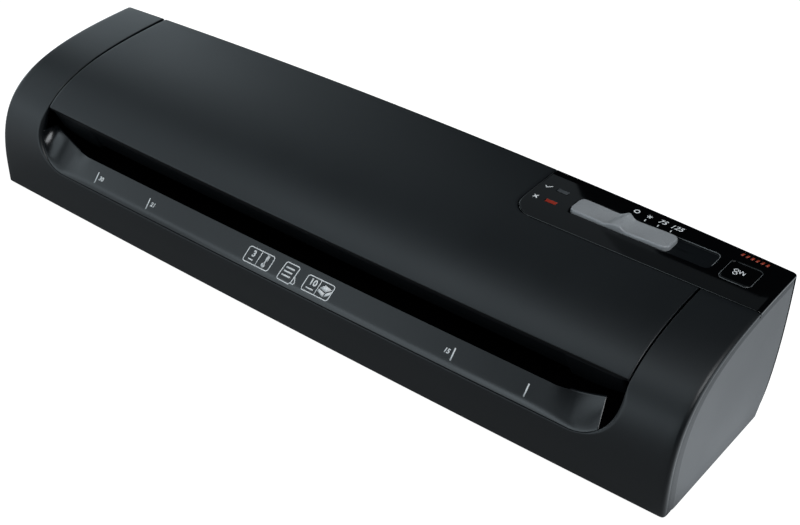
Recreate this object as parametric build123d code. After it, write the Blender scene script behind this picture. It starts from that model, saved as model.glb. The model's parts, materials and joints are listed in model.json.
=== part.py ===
from build123d import *
import math
import os

os.makedirs("parts", exist_ok=True)

# A3 pouch laminator. Millimetres, +X to the user's right, +Y to the back, +Z up.
# Origin: on the table, under the middle of the body.

# Overall body
HALF = 233.0            # half of the overall width
FRONT_Y = -59.0         # front face at the two ends
FRONT_BOW = 2.0         # how far the front swells forward at the middle
REAR_Y = 53.0           # top rear edge at the two ends
REAR_BOW = 8.0          # how far the rear swells back at the middle
FLOOR_Z = 3.0           # underside of the body, above the feet
TOP_Z = 80.0
SHOULDER_Z = 15.0       # where the upright front starts to curve over
FULLNESS = 0.78         # how square the front curve is
CORNER_R = 1.6          # rounding of the front bottom edge and the top rear edge
WALL = 2.5
SEAM = 0.4

# Rounded ends and end caps
ROUND_X = 230.0         # where the skin starts to round in towards the end
ROUND_LEN = 2.6
ROUND_F = 2.8           # how far the front rounds in
ROUND_T = 1.2           # how far the top rounds in
ROUND_R = 1.6           # how far the back rounds in
CAP_IN_X = 224.5        # inner face of an end cap
RIM_X = 232.1
RIM_F = 3.5
RIM_T = 2.1
RIM_R = 2.2
FACE_F = 8.8
FACE_T = 4.6
FACE_R = 4.2

# Feed mouth, tray, guides and paper path
LIP_Z = 59.3
MOUTH_HALF = 200.5
MOUTH_Z = 28.4
MOUTH_R = 23.0
PATH_Z = 44.0           # middle of the paper path
PATH_HALF = 2.5
RAMP_START = -60.5
RAMP_Y = -47.0          # back end of the tray's slope
TRAY_T = 1.6
TRAY_GAP = 0.15
SHELF_Y = -20.0         # back end of the tray's flat shelf
GUIDE_HALF = 166.0

# Cover and its grooves
COVER_FRONT = 199.3
COVER_REAR = 200.6
CHEEK_FRONT = 199.7
CHEEK_REAR = 202.8
COVER_BACK_Z = 70.0

# Control panel
PANEL_X = 91.0
PANEL_Y = 14.8
PANEL_R = 12.0
TRACK_X0 = 116.2
TRACK_X1 = 197.1
TRACK_Y0 = 29.2
TRACK_Y1 = 43.4
TRACK_Z = 78.4
KNOB_L = 57.5
KNOB_W = 13.5
KNOB_END = 2.5
KNOB_H = 4.9
KNOB_X = 145.4
SLIDE = 22.5
BUTTON_X = 211.3
BUTTON_Y = 35.0
BUTTON_W = 16.6
BUTTON_D = 15.6
LENS_X = 105.3
READY_Y = 42.8
POWER_Y = 31.5
LENS_L = 6.4
LENS_W = 2.4

# Chassis and rollers
FRAME_X = 172.0
FRAME_T = 1.5
FRAME_TOP = 68.0
HOT_Y = -2.0
COLD_Y = 26.0
ROLLER_R = 8.5
NIP = 0.6
SHAFT_R = 4.0
BUSH_R = 6.0
RUN_FIT = 0.05
UP_Z = PATH_Z + NIP / 2 + ROLLER_R
LOW_Z = PATH_Z - NIP / 2 - ROLLER_R
SLEEVE_HALF = 162.0

# Gears: 0.8 module
MODULE = (UP_Z - LOW_Z) / 22
ROLLER_TEETH = 22
IDLER_TEETH = 13
PINION_TEETH = 12
GEAR_X0 = -184.0
GEAR_X1 = -178.0
MOTOR_ANGLE = 240.0     # where the pinion sits around the lower hot gear

# Pressure release
RELEASE_Y = 12.0
RELEASE_Z = 62.0
RELEASE_R = 3.0

# Base, screws and electrics
FOOT_R = 8.0
FEET = [(x, y) for x in (-190.0, 190.0) for y in (-40.0, 24.0)]
FRONT_SCREWS = [(-216.5, -43.0), (216.5, -43.0)]
REAR_SCREWS = [(-216.5, 24.0), (216.5, 24.0)]
FRAME_SCREWS = [(x, y) for x in (-166.0, 166.0) for y in (-17.0, 30.0)]
TIE_BARS = [(-14.0, 17.0), (38.0, 17.0)]
FRAME_FOOT_Z = 9.0
BOARD_Z = 10.0
BOARD_POSTS = [(181.0, -43.0), (206.0, -43.0), (181.0, 9.0), (206.0, 23.0)]
EXIT_HALF = 164.0
EXIT_GAP = 2.7
INLET_X = 195.0
INLET_Y = 50.6
INLET_Z = 22.0
CONTROL_Z = 69.6
PANEL_POSTS = [(99.0, 23.0), (195.0, 23.0), (160.0, 47.5)]
CARRIAGE_Z = 74.0
KNOB_Z = 78.7
STEM_Z = 66.2
FLANGE_Z = 74.4
GUIDE_Z = 68.4

# Drive
IDLER_Y = (HOT_Y + COLD_Y) / 2
PINION_D = MODULE * (ROLLER_TEETH + PINION_TEETH) / 2
PINION_Y = HOT_Y + PINION_D * math.cos(math.radians(MOTOR_ANGLE))
PINION_Z = LOW_Z + PINION_D * math.sin(math.radians(MOTOR_ANGLE))
MOTOR_Y = -12.0
MOTOR_Z = 30.5
MOTOR_FACE = -192.0
STANDOFFS = [(-20.0, 30.0), (-20.0, 51.0), (12.0, 12.0)]


def front_y(x):
    """Front face in plan: a shallow arc, taken as a parabola."""
    return FRONT_Y - FRONT_BOW * (1 - (x / HALF) ** 2)


def rear_y(x):
    """Top rear edge in plan, swelling the other way."""
    return REAR_Y + REAR_BOW * (1 - (x / HALF) ** 2)


def outline(x, f=0.0, t=0.0, r=0.0, b=0.0):
    """Side view of the body at one station, drawn in by f, t, r and b at front, top, rear and bottom."""
    yf = front_y(x) + f
    yr = rear_y(x) - r
    zt = TOP_Z - t
    zb = FLOOR_Z + b
    rf = max(CORNER_R - max(f, b), 0.8)
    rr = max(CORNER_R - max(r, t), 0.8)
    rise = zt - SHOULDER_Z
    yb = rear_y(x) - 17.0 - r
    k = rf * (1 - math.sqrt(0.5))
    q = rr * (1 - math.sqrt(0.5))
    ye = yr - rr
    p = [
        Vector(x, yb, zb),
        Vector(x, yf + rf, zb),
        Vector(x, yf + k, zb + k),
        Vector(x, yf, zb + rf),
        Vector(x, yf, SHOULDER_Z),
        Vector(x, yf, SHOULDER_Z + FULLNESS * rise),
        Vector(x, ye - FULLNESS * (ye - yf), zt),
        Vector(x, ye, zt),
        Vector(x, yr - q, zt - q),
        Vector(x, yr, zt - rr),
        Vector(x, yr - 0.5, 48.0),
        Vector(x, yr - 4.0, 21.0),
    ]
    return Wire(
        [
            Edge.make_line(p[0], p[1]),
            Edge.make_three_point_arc(p[1], p[2], p[3]),
            Edge.make_line(p[3], p[4]),
            Edge.make_bezier(p[4], p[5], p[6], p[7]),
            Edge.make_three_point_arc(p[7], p[8], p[9]),
            Edge.make_bezier(p[9], p[10], p[11], p[0]),
        ]
    )


def envelope(d=0.0, half=ROUND_X):
    """The bowed body between the two stations, drawn in by d all round."""
    return Solid.make_loft([outline(x, d, d, d, d) for x in (-half, 0.0, half)])


def rounded_end(side):
    """The last few millimetres of the body, where the skin rounds in over a quarter ellipse."""
    wires = []
    for deg in (0.0, 28.0, 52.0, 72.0):
        a = math.radians(deg)
        x = ROUND_X + ROUND_LEN * math.sin(a)
        n = 1 - math.cos(a)
        wires.append(outline(side * x, ROUND_F * n, ROUND_T * n, ROUND_R * n, 0.2 * n))
    return Solid.make_loft(wires)


def box(x0, x1, y0, y1, z0, z1):
    return Pos((x0 + x1) / 2, (y0 + y1) / 2, (z0 + z1) / 2) * Box(x1 - x0, y1 - y0, z1 - z0)


def rod_x(x0, x1, y, z, r):
    return Pos((x0 + x1) / 2, y, z) * Rot(0, 90, 0) * Cylinder(r, x1 - x0)


def rod_y(y0, y1, x, z, r):
    return Pos(x, (y0 + y1) / 2, z) * Rot(90, 0, 0) * Cylinder(r, y1 - y0)


def rod_z(z0, z1, x, y, r):
    return Pos(x, y, (z0 + z1) / 2) * Cylinder(r, z1 - z0)


def tube_x(x0, x1, y, z, r, bore):
    return rod_x(x0, x1, y, z, r) - rod_x(x0 - 1, x1 + 1, y, z, bore)


def tube_z(z0, z1, x, y, r, bore):
    return rod_z(z0, z1, x, y, r) - rod_z(z0 - 1, z1 + 1, x, y, bore)


def rounded_bar(x, y, z0, z1, w, d, r):
    """An upright block with rounded corners in plan."""
    return Pos(x, y, z0) * extrude(RectangleRounded(w, d, r), z1 - z0)


def plan_prism(points, z0, z1):
    return Pos(0, 0, z0) * extrude(make_face(Polyline(*points, close=True)), z1 - z0)


def side_prism(points, x0, x1):
    """A (y, z) outline carried along X."""
    face = make_face(Polyline(*[(x0, y, z) for y, z in points], close=True))
    return extrude(face, x1 - x0, dir=(1, 0, 0))


def mirror_x(shape):
    return mirror(shape, Plane.YZ)


def both(shape):
    return [shape, mirror_x(shape)]


def group(solids):
    return Compound(children=[s for shape in solids for s in shape.solids()])


def wedge(front, rear, z0, z1):
    """The plan between the grooves, from the lip to past the rear edge."""
    return plan_prism([(-front, -70), (front, -70), (rear, 70), (-rear, 70)], z0, z1)


def panel_region(gap):
    """The control panel's plan: straight sides, with its front left corner rounded."""
    x0 = PANEL_X - gap
    y0 = PANEL_Y - gap
    far = HALF + 10
    r = PANEL_R + gap
    plan = make_face(Polyline((x0, y0), (far, y0), (far, 80), (x0, 80), close=True))
    corner = make_face(Polyline((x0, y0), (x0 + r, y0), (x0 + r, y0 + r), (x0, y0 + r), close=True))
    plan = plan - corner + Pos(x0 + r, y0 + r) * Circle(r)
    return Pos(0, 0, COVER_BACK_Z + 0.4 - gap) * extrude(plan, 20)


def mouth(grow, y0, y1):
    """The smile-shaped recess: flat bottom and two rounded lower corners, running up past the lip."""
    w = MOUTH_HALF + grow
    z0 = MOUTH_Z - grow
    z1 = 130.0
    plane = Plane((0, y0, (z0 + z1) / 2), x_dir=(1, 0, 0), z_dir=(0, 1, 0))
    return extrude(plane * RectangleRounded(2 * w, z1 - z0, MOUTH_R + grow), y1 - y0)


def cap_block(x0, x1, f, t, r, b):
    """A straight length of the end cap's outline at the right end."""
    return Solid.extrude(Face(outline(x0, f, t, r, b)), Vector(x1 - x0, 0, 0))


OUTER = envelope()
SKIN = OUTER - envelope(WALL, CAP_IN_X)
RIGHT_END = rounded_end(1)
POCKET = cap_block(CAP_IN_X, HALF + 4, RIM_F - SEAM, RIM_T - SEAM, RIM_R - SEAM, -1.5)
END_RING = RIGHT_END - POCKET
SHELL = (SKIN - POCKET - mirror_x(POCKET)) + END_RING + mirror_x(END_RING)
FLOOR_IN = FLOOR_Z + WALL


def ledge():
    """A strip beside the right-hand groove that carries the cover's edge."""
    inner = envelope(4.2)
    low = (envelope(2.8) - inner) & box(196.5, CHEEK_REAR, -40, 49, 57, 90)
    high = (envelope(1.8) - inner) & box(CHEEK_REAR - 0.2, 206, -40, 49, 57, 90)
    return low + high


def housing():
    """Front apron and both cheeks in one moulding, with the feed recess cut through it."""
    body = SHELL - mouth(0, -70, -38)
    body -= wedge(CHEEK_FRONT, CHEEK_REAR, 57, 95)
    body -= box(-240, 240, 15, 80, -5, COVER_BACK_Z)
    body -= box(-CAP_IN_X, CAP_IN_X, -52, 80, -5, FLOOR_IN + 0.3)
    strip = ledge()
    body += strip
    body += mirror_x(strip)
    body -= panel_region(SEAM)
    for x, y in FRONT_SCREWS:
        body += rod_z(FLOOR_IN + 0.4, 24, x, y, 4)
        body += box(x - 1, x + 1, FRONT_Y + 2, y, 6.5, 24)
        body -= rod_z(5, 20, x, y, 1.25)
    return body


def top_cover():
    """Centre cover from the lip to the top rear edge, notched round the control panel."""
    body = SHELL & wedge(COVER_FRONT, COVER_REAR, LIP_Z, 95)
    body -= box(-240, 240, 20, 80, -5, COVER_BACK_Z)
    body -= panel_region(SEAM)
    return body


def rear_cover():
    """Back wall with the exit slot, two rows of vents and the hole for the power inlet."""
    body = SHELL & box(-240, 240, 15, 80, FLOOR_IN + 0.3, COVER_BACK_Z - SEAM)
    body -= box(-EXIT_HALF, EXIT_HALF, 30, 80, PATH_Z - EXIT_GAP, PATH_Z + EXIT_GAP)
    for i in range(-11, 12):
        body -= box(i * 12 - 1.5, i * 12 + 1.5, 30, 80, 55, 65)
        body -= box(i * 12 - 1.5, i * 12 + 1.5, 30, 80, 14, 24)
    body -= box(INLET_X - 11.2, INLET_X + 11.2, 30, 80, INLET_Z - 8.2, INLET_Z + 8.2)
    for x, y in REAR_SCREWS:
        body += rod_z(FLOOR_IN + 0.4, 24, x, y, 4)
        body += box(x - 1, x + 1, y, 39.5, 9, 24) & envelope(1.0)
        body -= rod_z(5, 20, x, y, 1.25)
    return body


def base_plate():
    """Flat underside tray with bosses for the frames, vents, and pockets for the feet."""
    body = OUTER & box(-CAP_IN_X + 0.5, CAP_IN_X - 0.5, -51.6, 80, 0, FLOOR_IN)
    for x, y in FEET:
        body -= rod_z(0, FLOOR_Z + 1, x, y, FOOT_R + 0.2)
    for x, y in FRAME_SCREWS:
        body += tube_z(FLOOR_IN - 0.5, FRAME_FOOT_Z, x, y, 4, 1.2)
        body -= rod_z(FLOOR_IN + 0.5, 12, x, y, 1.2)
    for x, y in FRONT_SCREWS + REAR_SCREWS:
        body -= rod_z(2, 6, x, y, 1.6)
        body -= rod_z(2, 4.6, x, y, 3.0)
    for x, y in BOARD_POSTS:
        body += rod_z(FLOOR_IN - 0.5, BOARD_Z, x, y, 3)
    for i in range(-9, 10):
        body -= box(i * 15 - 1.5, i * 15 + 1.5, -30, -12, 0, 8)
    return body


def end_cap():
    """Right-hand end panel: a plug in the end ring, a bevelled rim and a flat face."""
    body = cap_block(CAP_IN_X + 0.3, RIM_X, RIM_F, RIM_T, RIM_R, 0.3)
    face = outline(HALF, FACE_F, FACE_T, FACE_R, 0.3)
    body += Solid.make_loft([outline(RIM_X, RIM_F, RIM_T, RIM_R, 0.3), face])
    body -= cap_block(CAP_IN_X - 2, RIM_X - 1.5, RIM_F + 2.5, RIM_T + 2.5, RIM_R + 2.5, 2.9)
    return body


def feed_tray():
    """Dished slope into the slot with upturned ends, and the flat shelf behind it."""
    rise = PATH_Z - PATH_HALF - (MOUTH_Z + TRAY_GAP + TRAY_T)
    way = Vector(0, RAMP_Y - RAMP_START, rise)
    outer = mouth(-TRAY_GAP, 0, 1).faces().sort_by(Axis.Y)[0]
    inner = mouth(-TRAY_GAP - TRAY_T, 0, 1).faces().sort_by(Axis.Y)[0]
    scoop = Pos(0, RAMP_START, 0) * (Solid.extrude(outer, way) - Solid.extrude(inner, way))
    scoop = scoop & envelope(0.3) & box(-210, 210, -70, RAMP_Y, 20, LIP_Z - 1.2)
    z1 = PATH_Z - PATH_HALF
    half = GUIDE_HALF + 2
    shelf = box(-half, half, RAMP_Y - 0.5, SHELF_Y, z1 - TRAY_T, z1)
    return scoop + shelf + box(-half, half, SHELF_Y - 1.5, SHELF_Y, z1 - 8, z1)


def upper_guide():
    """Dark slope that hangs behind the lip and closes the slot from above."""
    z = PATH_Z + PATH_HALF
    slope = [(-42.2, 57.8), (-40.4, 57.8), (-36.0, z + 2), (-36.0, z), (-37.4, z)]
    body = side_prism(slope, -MOUTH_HALF + 4.5, MOUTH_HALF - 4.5)
    body += box(-GUIDE_HALF, GUIDE_HALF, -36.2, -18, z, z + 2)
    cheek = [(-40.4, 57.8), (-22.6, 57.8), (-22.6, z + 1), (-36.0, z + 1)]
    for side in (-1, 1):
        x = side * (GUIDE_HALF - 1)
        body += side_prism(cheek, x - 1, x + 1)
    return body


def side_frame():
    """Right-hand steel plate: slots for the upper bushes, holes for the lower ones, two bent flanges."""
    x0 = FRAME_X
    x1 = FRAME_X + FRAME_T
    foot = FRAME_FOOT_Z
    body = box(x0, x1, -24, 44, foot, FRAME_TOP)
    body += box(x0, x0 + 10, -14, 38, FRAME_TOP - FRAME_T, FRAME_TOP)
    body += box(x0 - 12, x1, -24, 36, foot, foot + FRAME_T)
    body -= box(x0 - 13, x0, -10, 22, foot - 1, foot + 2)
    body = body & envelope(WALL + 0.8)
    gap = BUSH_R + 0.05
    for y in (HOT_Y, COLD_Y):
        body -= rod_x(x0 - 1, x1 + 1, y, LOW_Z, gap)
        body -= rod_x(x0 - 1, x1 + 1, y, UP_Z, gap)
        body -= box(x0 - 1, x1, y - gap, y + gap, UP_Z, FRAME_TOP - FRAME_T)
    body -= rod_x(x0 - 1, x1 + 1, RELEASE_Y, RELEASE_Z, RELEASE_R + RUN_FIT)
    for y in (-17, 30):
        body -= rod_z(foot - 1, foot + 2, x0 - 6, y, 1.6)
    return body


def left_frame():
    """The same plate mirrored, with a hole for the idler's pin."""
    return mirror_x(side_frame()) - rod_x(-FRAME_X - 3, -FRAME_X + 1, IDLER_Y, LOW_Z, 2.0)


def tie_bars():
    return group([rod_x(-FRAME_X, FRAME_X, y, z, 4) for y, z in TIE_BARS])


def bush(y, z, saddle):
    body = tube_x(170.3, 176.3, y, z, BUSH_R, SHAFT_R + RUN_FIT)
    body += tube_x(170.3, FRAME_X - 0.1, y, z, BUSH_R + 1.5, SHAFT_R + RUN_FIT)
    if saddle:
        body += box(FRAME_X + 0.2, 177.3, y - 4, y + 4, z + 4.6, z + BUSH_R + 0.4)
    return body


def bushes(z, saddle):
    return group([s for y in (HOT_Y, COLD_Y) for s in both(bush(y, z, saddle))])


def coil(z0, z1, x, y, r, wire, turns):
    """A round-wire compression spring standing along Z."""
    height = z1 - z0 - 2 * wire
    path = Helix(height / turns, height, r, center=(x, y, z0 + wire))
    start = path @ 0
    profile = Plane(start, z_dir=path % 0) * Circle(wire)
    return sweep(profile, path=path)


def pressure_springs():
    z0 = UP_Z + BUSH_R + 0.45
    z1 = FRAME_TOP - FRAME_T - 0.05
    springs = [coil(z0, z1, 174.9, y, 2.5, 0.4, 4) for y in (HOT_Y, COLD_Y)]
    return group([s for spring in springs for s in both(spring)])


def roller_shaft(y, z):
    return rod_x(-186, 178, y, z, SHAFT_R)


def roller_sleeve(y, z):
    return tube_x(-SLEEVE_HALF, SLEEVE_HALF, y, z, ROLLER_R, SHAFT_R)


def involute(angle):
    return math.tan(angle) - angle


def gear(teeth, y, z, bore, phase):
    """Spur gear along X with involute flanks, shortened tips and a little backlash.

    phase is the angle, from +Y towards +Z, of the middle of one tooth.
    """
    pitch = MODULE * teeth / 2
    base = pitch * math.cos(math.radians(20))
    tip = pitch + 0.78 * MODULE
    root = pitch - 1.2 * MODULE
    half = math.pi / (2 * teeth) - 0.09 / pitch
    low = max(base, root + 0.05)
    points = []
    for i in range(teeth):
        mid = phase + 2 * math.pi * i / teeth
        flank = []
        for k in range(5):
            rho = low + (tip - low) * k / 4
            flank.append((rho, half + involute(math.radians(20)) - involute(math.acos(min(1.0, base / rho)))))
        flank.insert(0, (root, flank[0][1] + 0.02))
        for rho, a in flank:
            points.append((y + rho * math.cos(mid - a), z + rho * math.sin(mid - a)))
        for rho, a in reversed(flank):
            points.append((y + rho * math.cos(mid + a), z + rho * math.sin(mid + a)))
    body = side_prism(points, GEAR_X0, GEAR_X1)
    return body - rod_x(GEAR_X0 - 1, GEAR_X1 + 1, y, z, bore)


def meshed(teeth, phase, other_teeth, angle):
    """Phase of a gear that meshes with the first one, seen from the first along angle."""
    return angle + math.pi + math.pi / other_teeth - (phase - angle) * teeth / other_teeth


def heat_shoe(side):
    """Aluminium shoe round the outside of a hot roller, with a flat for its heater."""
    zc = PATH_Z + side * (UP_Z - PATH_Z)
    ring = tube_x(-158, 158, HOT_Y, zc, ROLLER_R + 3.8, ROLLER_R + 0.9)
    if side > 0:
        ring = ring & box(-160, 160, -40, 40, zc + 2, zc + 30)
        pad = box(-FRAME_X + 0.2, FRAME_X - 0.2, HOT_Y - 6, HOT_Y + 6, zc + 10.4, zc + 13)
    else:
        ring = ring & box(-160, 160, -40, 40, zc - 30, zc - 2)
        pad = box(-FRAME_X + 0.2, FRAME_X - 0.2, HOT_Y - 6, HOT_Y + 6, zc - 13, zc - 10.4)
    return ring + pad


def heater(side):
    zc = PATH_Z + side * (UP_Z - PATH_Z + 13.3)
    return box(-150, 150, HOT_Y - 6, HOT_Y + 6, zc - 0.25, zc + 0.25)


def heat_shield():
    """Bent steel sheet over the upper shoe."""
    x = FRAME_X - 0.3
    return box(-x, x, -22, 11, 67.0, 67.6) + box(-x, x, -22, -21.4, 54.5, 67.6)


def mid_guide():
    """T-section between the hot and cold rollers."""
    z = PATH_Z - PATH_HALF
    body = box(-160, 160, 8, 16, z - 1.8, z)
    return body + box(-150, 150, 11.3, 12.7, FLOOR_IN + 0.1, z - 1.8)


def exit_guide():
    """Flat tunnel from the cold rollers to the slot in the back."""
    z0 = PATH_Z - EXIT_GAP
    z1 = PATH_Z + EXIT_GAP
    body = box(-EXIT_HALF - 2, EXIT_HALF + 2, 36.3, 70, z0 - 1.8, z1 + 1.8)
    body -= box(-EXIT_HALF, EXIT_HALF, 30, 80, z0, z1)
    return body & envelope(WALL + 0.2)


def release_shaft():
    return rod_x(-190, 215, RELEASE_Y, RELEASE_Z, RELEASE_R)


def arm(x0, x1, y0, z0, y1, z1, r0, r1, bore):
    """A flat lever between two round ends."""
    length = math.hypot(y1 - y0, z1 - z0)
    ny = -(z1 - z0) / length
    nz = (y1 - y0) / length
    web = side_prism(
        [
            (y0 + ny * r0 * 0.8, z0 + nz * r0 * 0.8),
            (y1 + ny * r1, z1 + nz * r1),
            (y1 - ny * r1, z1 - nz * r1),
            (y0 - ny * r0 * 0.8, z0 - nz * r0 * 0.8),
        ],
        x0,
        x1,
    )
    body = rod_x(x0, x1, y0, z0, r0) + rod_x(x0, x1, y1, z1, r1) + web
    return body - rod_x(x0 - 1, x1 + 1, y0, z0, bore)


def control_panel():
    """Gloss plate over the right rear, with the slider's track and holes for button and lenses."""
    body = SHELL & panel_region(0)
    mid_y = (TRACK_Y0 + TRACK_Y1) / 2
    long_x = (TRACK_X0 + TRACK_X1) / 2
    body -= rounded_bar(long_x, mid_y, TRACK_Z, 90, TRACK_X1 - TRACK_X0, TRACK_Y1 - TRACK_Y0, 3.2)
    body -= rounded_bar(KNOB_X + SLIDE / 2, mid_y, 70, 90, SLIDE + 9, 4.6, 2.2)
    body -= rounded_bar(BUTTON_X, BUTTON_Y, 70, 90, BUTTON_W + 0.8, BUTTON_D + 0.8, 3.2)
    for y in (READY_Y, POWER_Y):
        w = LENS_L / 2 + 0.1
        d = LENS_W / 2 + 0.1
        body -= box(LENS_X - w, LENS_X + w, y - d, y + d, 70, 90)
    for x, y in PANEL_POSTS:
        body += tube_z(CONTROL_Z + 1.7, 78, x, y, 2.8, 1.1)
    return body


def slider_knob():
    """Saddle-shaped knob: a ridge across the middle with hollow flanks, and a stem through the slot."""
    mid_y = (TRACK_Y0 + TRACK_Y1) / 2
    z0 = KNOB_Z
    h = KNOB_L / 2
    low = z0 + KNOB_END
    top = z0 + KNOB_H
    flank = make_face(
        [
            Line((-h, z0), (h, z0)),
            Line((h, z0), (h, low)),
            Line((h, low), (11, low)),
            ThreePointArc((11, low), (5, low + 0.6), (1.5, top - 0.3)),
            ThreePointArc((1.5, top - 0.3), (0, top), (-1.5, top - 0.3)),
            ThreePointArc((-1.5, top - 0.3), (-5, low + 0.6), (-11, low)),
            Line((-11, low), (-h, low)),
            Line((-h, low), (-h, z0)),
        ]
    )
    side = Plane((KNOB_X, mid_y + KNOB_W / 2, 0), x_dir=(1, 0, 0), z_dir=(0, -1, 0))
    body = extrude(side * flank, KNOB_W) & rounded_bar(KNOB_X, mid_y, 70, 95, KNOB_L, KNOB_W, 4.4)
    return body + rounded_bar(KNOB_X, mid_y, CARRIAGE_Z + 2, z0 + 1, 7, 3.8, 1.5)


def slider_carriage():
    """Plate under the panel that carries the knob's stem and a nib into the switch."""
    mid_y = (TRACK_Y0 + TRACK_Y1) / 2
    body = rounded_bar(KNOB_X, mid_y, CARRIAGE_Z, CARRIAGE_Z + 2, 34, 10, 2)
    return body + rounded_bar(KNOB_X, mid_y, CARRIAGE_Z - 1.7, CARRIAGE_Z, 3, 2, 0.6)


def slide_switch():
    """Multi-position switch on the control board, open along the top for the nib."""
    mid_y = (TRACK_Y0 + TRACK_Y1) / 2
    x = KNOB_X + SLIDE / 2
    z0 = CONTROL_Z + 1.6
    body = box(x - 20, x + 20, mid_y - 4, mid_y + 4, z0, CARRIAGE_Z - 0.5)
    return body - box(x - 14.5, x + 14.5, mid_y - 1.4, mid_y + 1.4, z0 + 0.8, CARRIAGE_Z)


def release_button():
    """Square button flush with the panel, with a retaining flange and a stem."""
    body = rounded_bar(BUTTON_X, BUTTON_Y, FLANGE_Z, 95, BUTTON_W, BUTTON_D, 2.8) & OUTER
    body += rounded_bar(BUTTON_X, BUTTON_Y, FLANGE_Z, FLANGE_Z + 1.5, BUTTON_W + 3, BUTTON_D + 3, 3.5)
    body += rod_z(STEM_Z, STEM_Z + 1, BUTTON_X, BUTTON_Y, 1.5)
    return body + rod_z(STEM_Z + 0.6, FLANGE_Z + 1, BUTTON_X, BUTTON_Y, 2.5)


def button_guide():
    """Small bridge under the button that guides the stem and seats the spring."""
    body = box(BUTTON_X - 9, BUTTON_X + 9, 20.5, 49.5, GUIDE_Z - 1.6, GUIDE_Z)
    for y in (21.8, 48.2):
        body += box(BUTTON_X - 9, BUTTON_X + 9, y - 1.3, y + 1.3, GUIDE_Z - 1.6, 75.7)
    return body - rod_z(60, 80, BUTTON_X, BUTTON_Y, 2.5 + RUN_FIT)


def lens(y):
    body = box(LENS_X - LENS_L / 2, LENS_X + LENS_L / 2, y - LENS_W / 2, y + LENS_W / 2, 74.9, 90)
    return body & envelope(0.1)


def control_board():
    body = box(95, 200, 19.5, 50.5, CONTROL_Z, CONTROL_Z + 1.6)
    for x, y in PANEL_POSTS:
        body -= rod_z(60, 80, x, y, 1.5)
    return body


def board_screws():
    """Screws up through the control board into the panel's posts."""
    z = CONTROL_Z
    return group([rod_z(z - 1.4, z, x, y, 2.4) + rod_z(z - 0.5, z + 6, x, y, 1.0) for x, y in PANEL_POSTS])


def indicator_leds():
    lamps = []
    for y in (READY_Y, POWER_Y):
        z = CONTROL_Z + 1.6
        lamps.append(rod_z(z, z + 2, LENS_X, y, 1.5) + Pos(LENS_X, y, z + 2) * Sphere(1.45))
    return group(lamps)


def gear_motor():
    """Geared motor with an off-centre output shaft."""
    body = rod_x(-210, MOTOR_FACE, MOTOR_Y, MOTOR_Z, 21.5)
    body += rod_x(-212.5, -210, MOTOR_Y, MOTOR_Z, 12)
    return body + box(-208, -198, MOTOR_Y - 8, MOTOR_Y + 8, MOTOR_Z + 20, MOTOR_Z + 25.5)


def motor_bracket():
    body = box(MOTOR_FACE, MOTOR_FACE + 1.5, -25, 17, 7.5, 56)
    return body - rod_x(MOTOR_FACE - 1, MOTOR_FACE + 3, PINION_Y, PINION_Z, 3.5)


def motor_standoffs():
    return group([rod_x(MOTOR_FACE + 1.5, -FRAME_X - FRAME_T, y, z, 3.2) for y, z in STANDOFFS])


def motor_screws():
    """Screws through the left frame into the standoffs: their heads."""
    return group([rod_x(-FRAME_X, -FRAME_X + 1.8, y, z, 2.6) for y, z in STANDOFFS])


def power_inlet():
    """Two-pin inlet, open to the back, with its pins."""
    body = box(INLET_X - 11, INLET_X + 11, 32, INLET_Y, INLET_Z - 8, INLET_Z + 8)
    plane = Plane((INLET_X, INLET_Y - 11, INLET_Z), x_dir=(1, 0, 0), z_dir=(0, 1, 0))
    cavity = plane * RectangleRounded(15.4, 9, 4.4)
    pins = [rod_y(INLET_Y - 11, INLET_Y - 1.5, INLET_X + dx, INLET_Z, 1.2) for dx in (-4.3, 4.3)]
    return group([body - extrude(cavity, 20)] + pins)


def power_board():
    """Board with its transformer, relay, capacitor and terminals."""
    z = BOARD_Z + 1.6
    return group(
        [
            box(177.5, 210, -46, 26, BOARD_Z, z),
            box(180, 206, -38, -12, z, z + 24),
            box(180, 194, -6, 4, z, z + 16),
            rod_z(z, z + 22, 202, 0, 6),
            box(180, 208, 14, 23, z, z + 9),
        ]
    )


def base_screws():
    places = FRONT_SCREWS + REAR_SCREWS
    return group([rod_z(3.2, 4.6, x, y, 2.8) + rod_z(4, 18, x, y, 1.2) for x, y in places])


def frame_screws():
    """Screws down into the base, and the heads of those in the ends of the tie bars."""
    z = FRAME_FOOT_Z + FRAME_T
    x1 = FRAME_X + FRAME_T
    down = [rod_z(z, z + 1.8, x, y, 2.8) + rod_z(6.2, z + 1, x, y, 1.15) for x, y in FRAME_SCREWS]
    heads = [rod_x(x1, x1 + 1.8, y, z, 2.8) for y, z in TIE_BARS]
    return group(down + [s for head in heads for s in both(head)])


def feet():
    return group([rod_z(0, FLOOR_Z + 1, x, y, FOOT_R) for x, y in FEET])


up = math.pi / 2
phase_hot = math.pi / 2
phase_idler = meshed(ROLLER_TEETH, phase_hot, IDLER_TEETH, 0.0)
phase_cold = meshed(IDLER_TEETH, phase_idler, ROLLER_TEETH, 0.0)
phase_pinion = meshed(ROLLER_TEETH, phase_hot, PINION_TEETH, math.radians(MOTOR_ANGLE))
phase_hot_up = meshed(ROLLER_TEETH, phase_hot, ROLLER_TEETH, up)
phase_cold_up = meshed(ROLLER_TEETH, phase_cold, ROLLER_TEETH, up)
cap = end_cap()
lever_z = STEM_Z - 0.5 - 3.0
pinion = gear(PINION_TEETH, PINION_Y, PINION_Z, 1.0, phase_pinion)
idler_pin = rod_x(-187, -FRAME_X, IDLER_Y, LOW_Z, 2.0) + rod_x(-188, -186, IDLER_Y, LOW_Z, 3.2)

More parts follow.
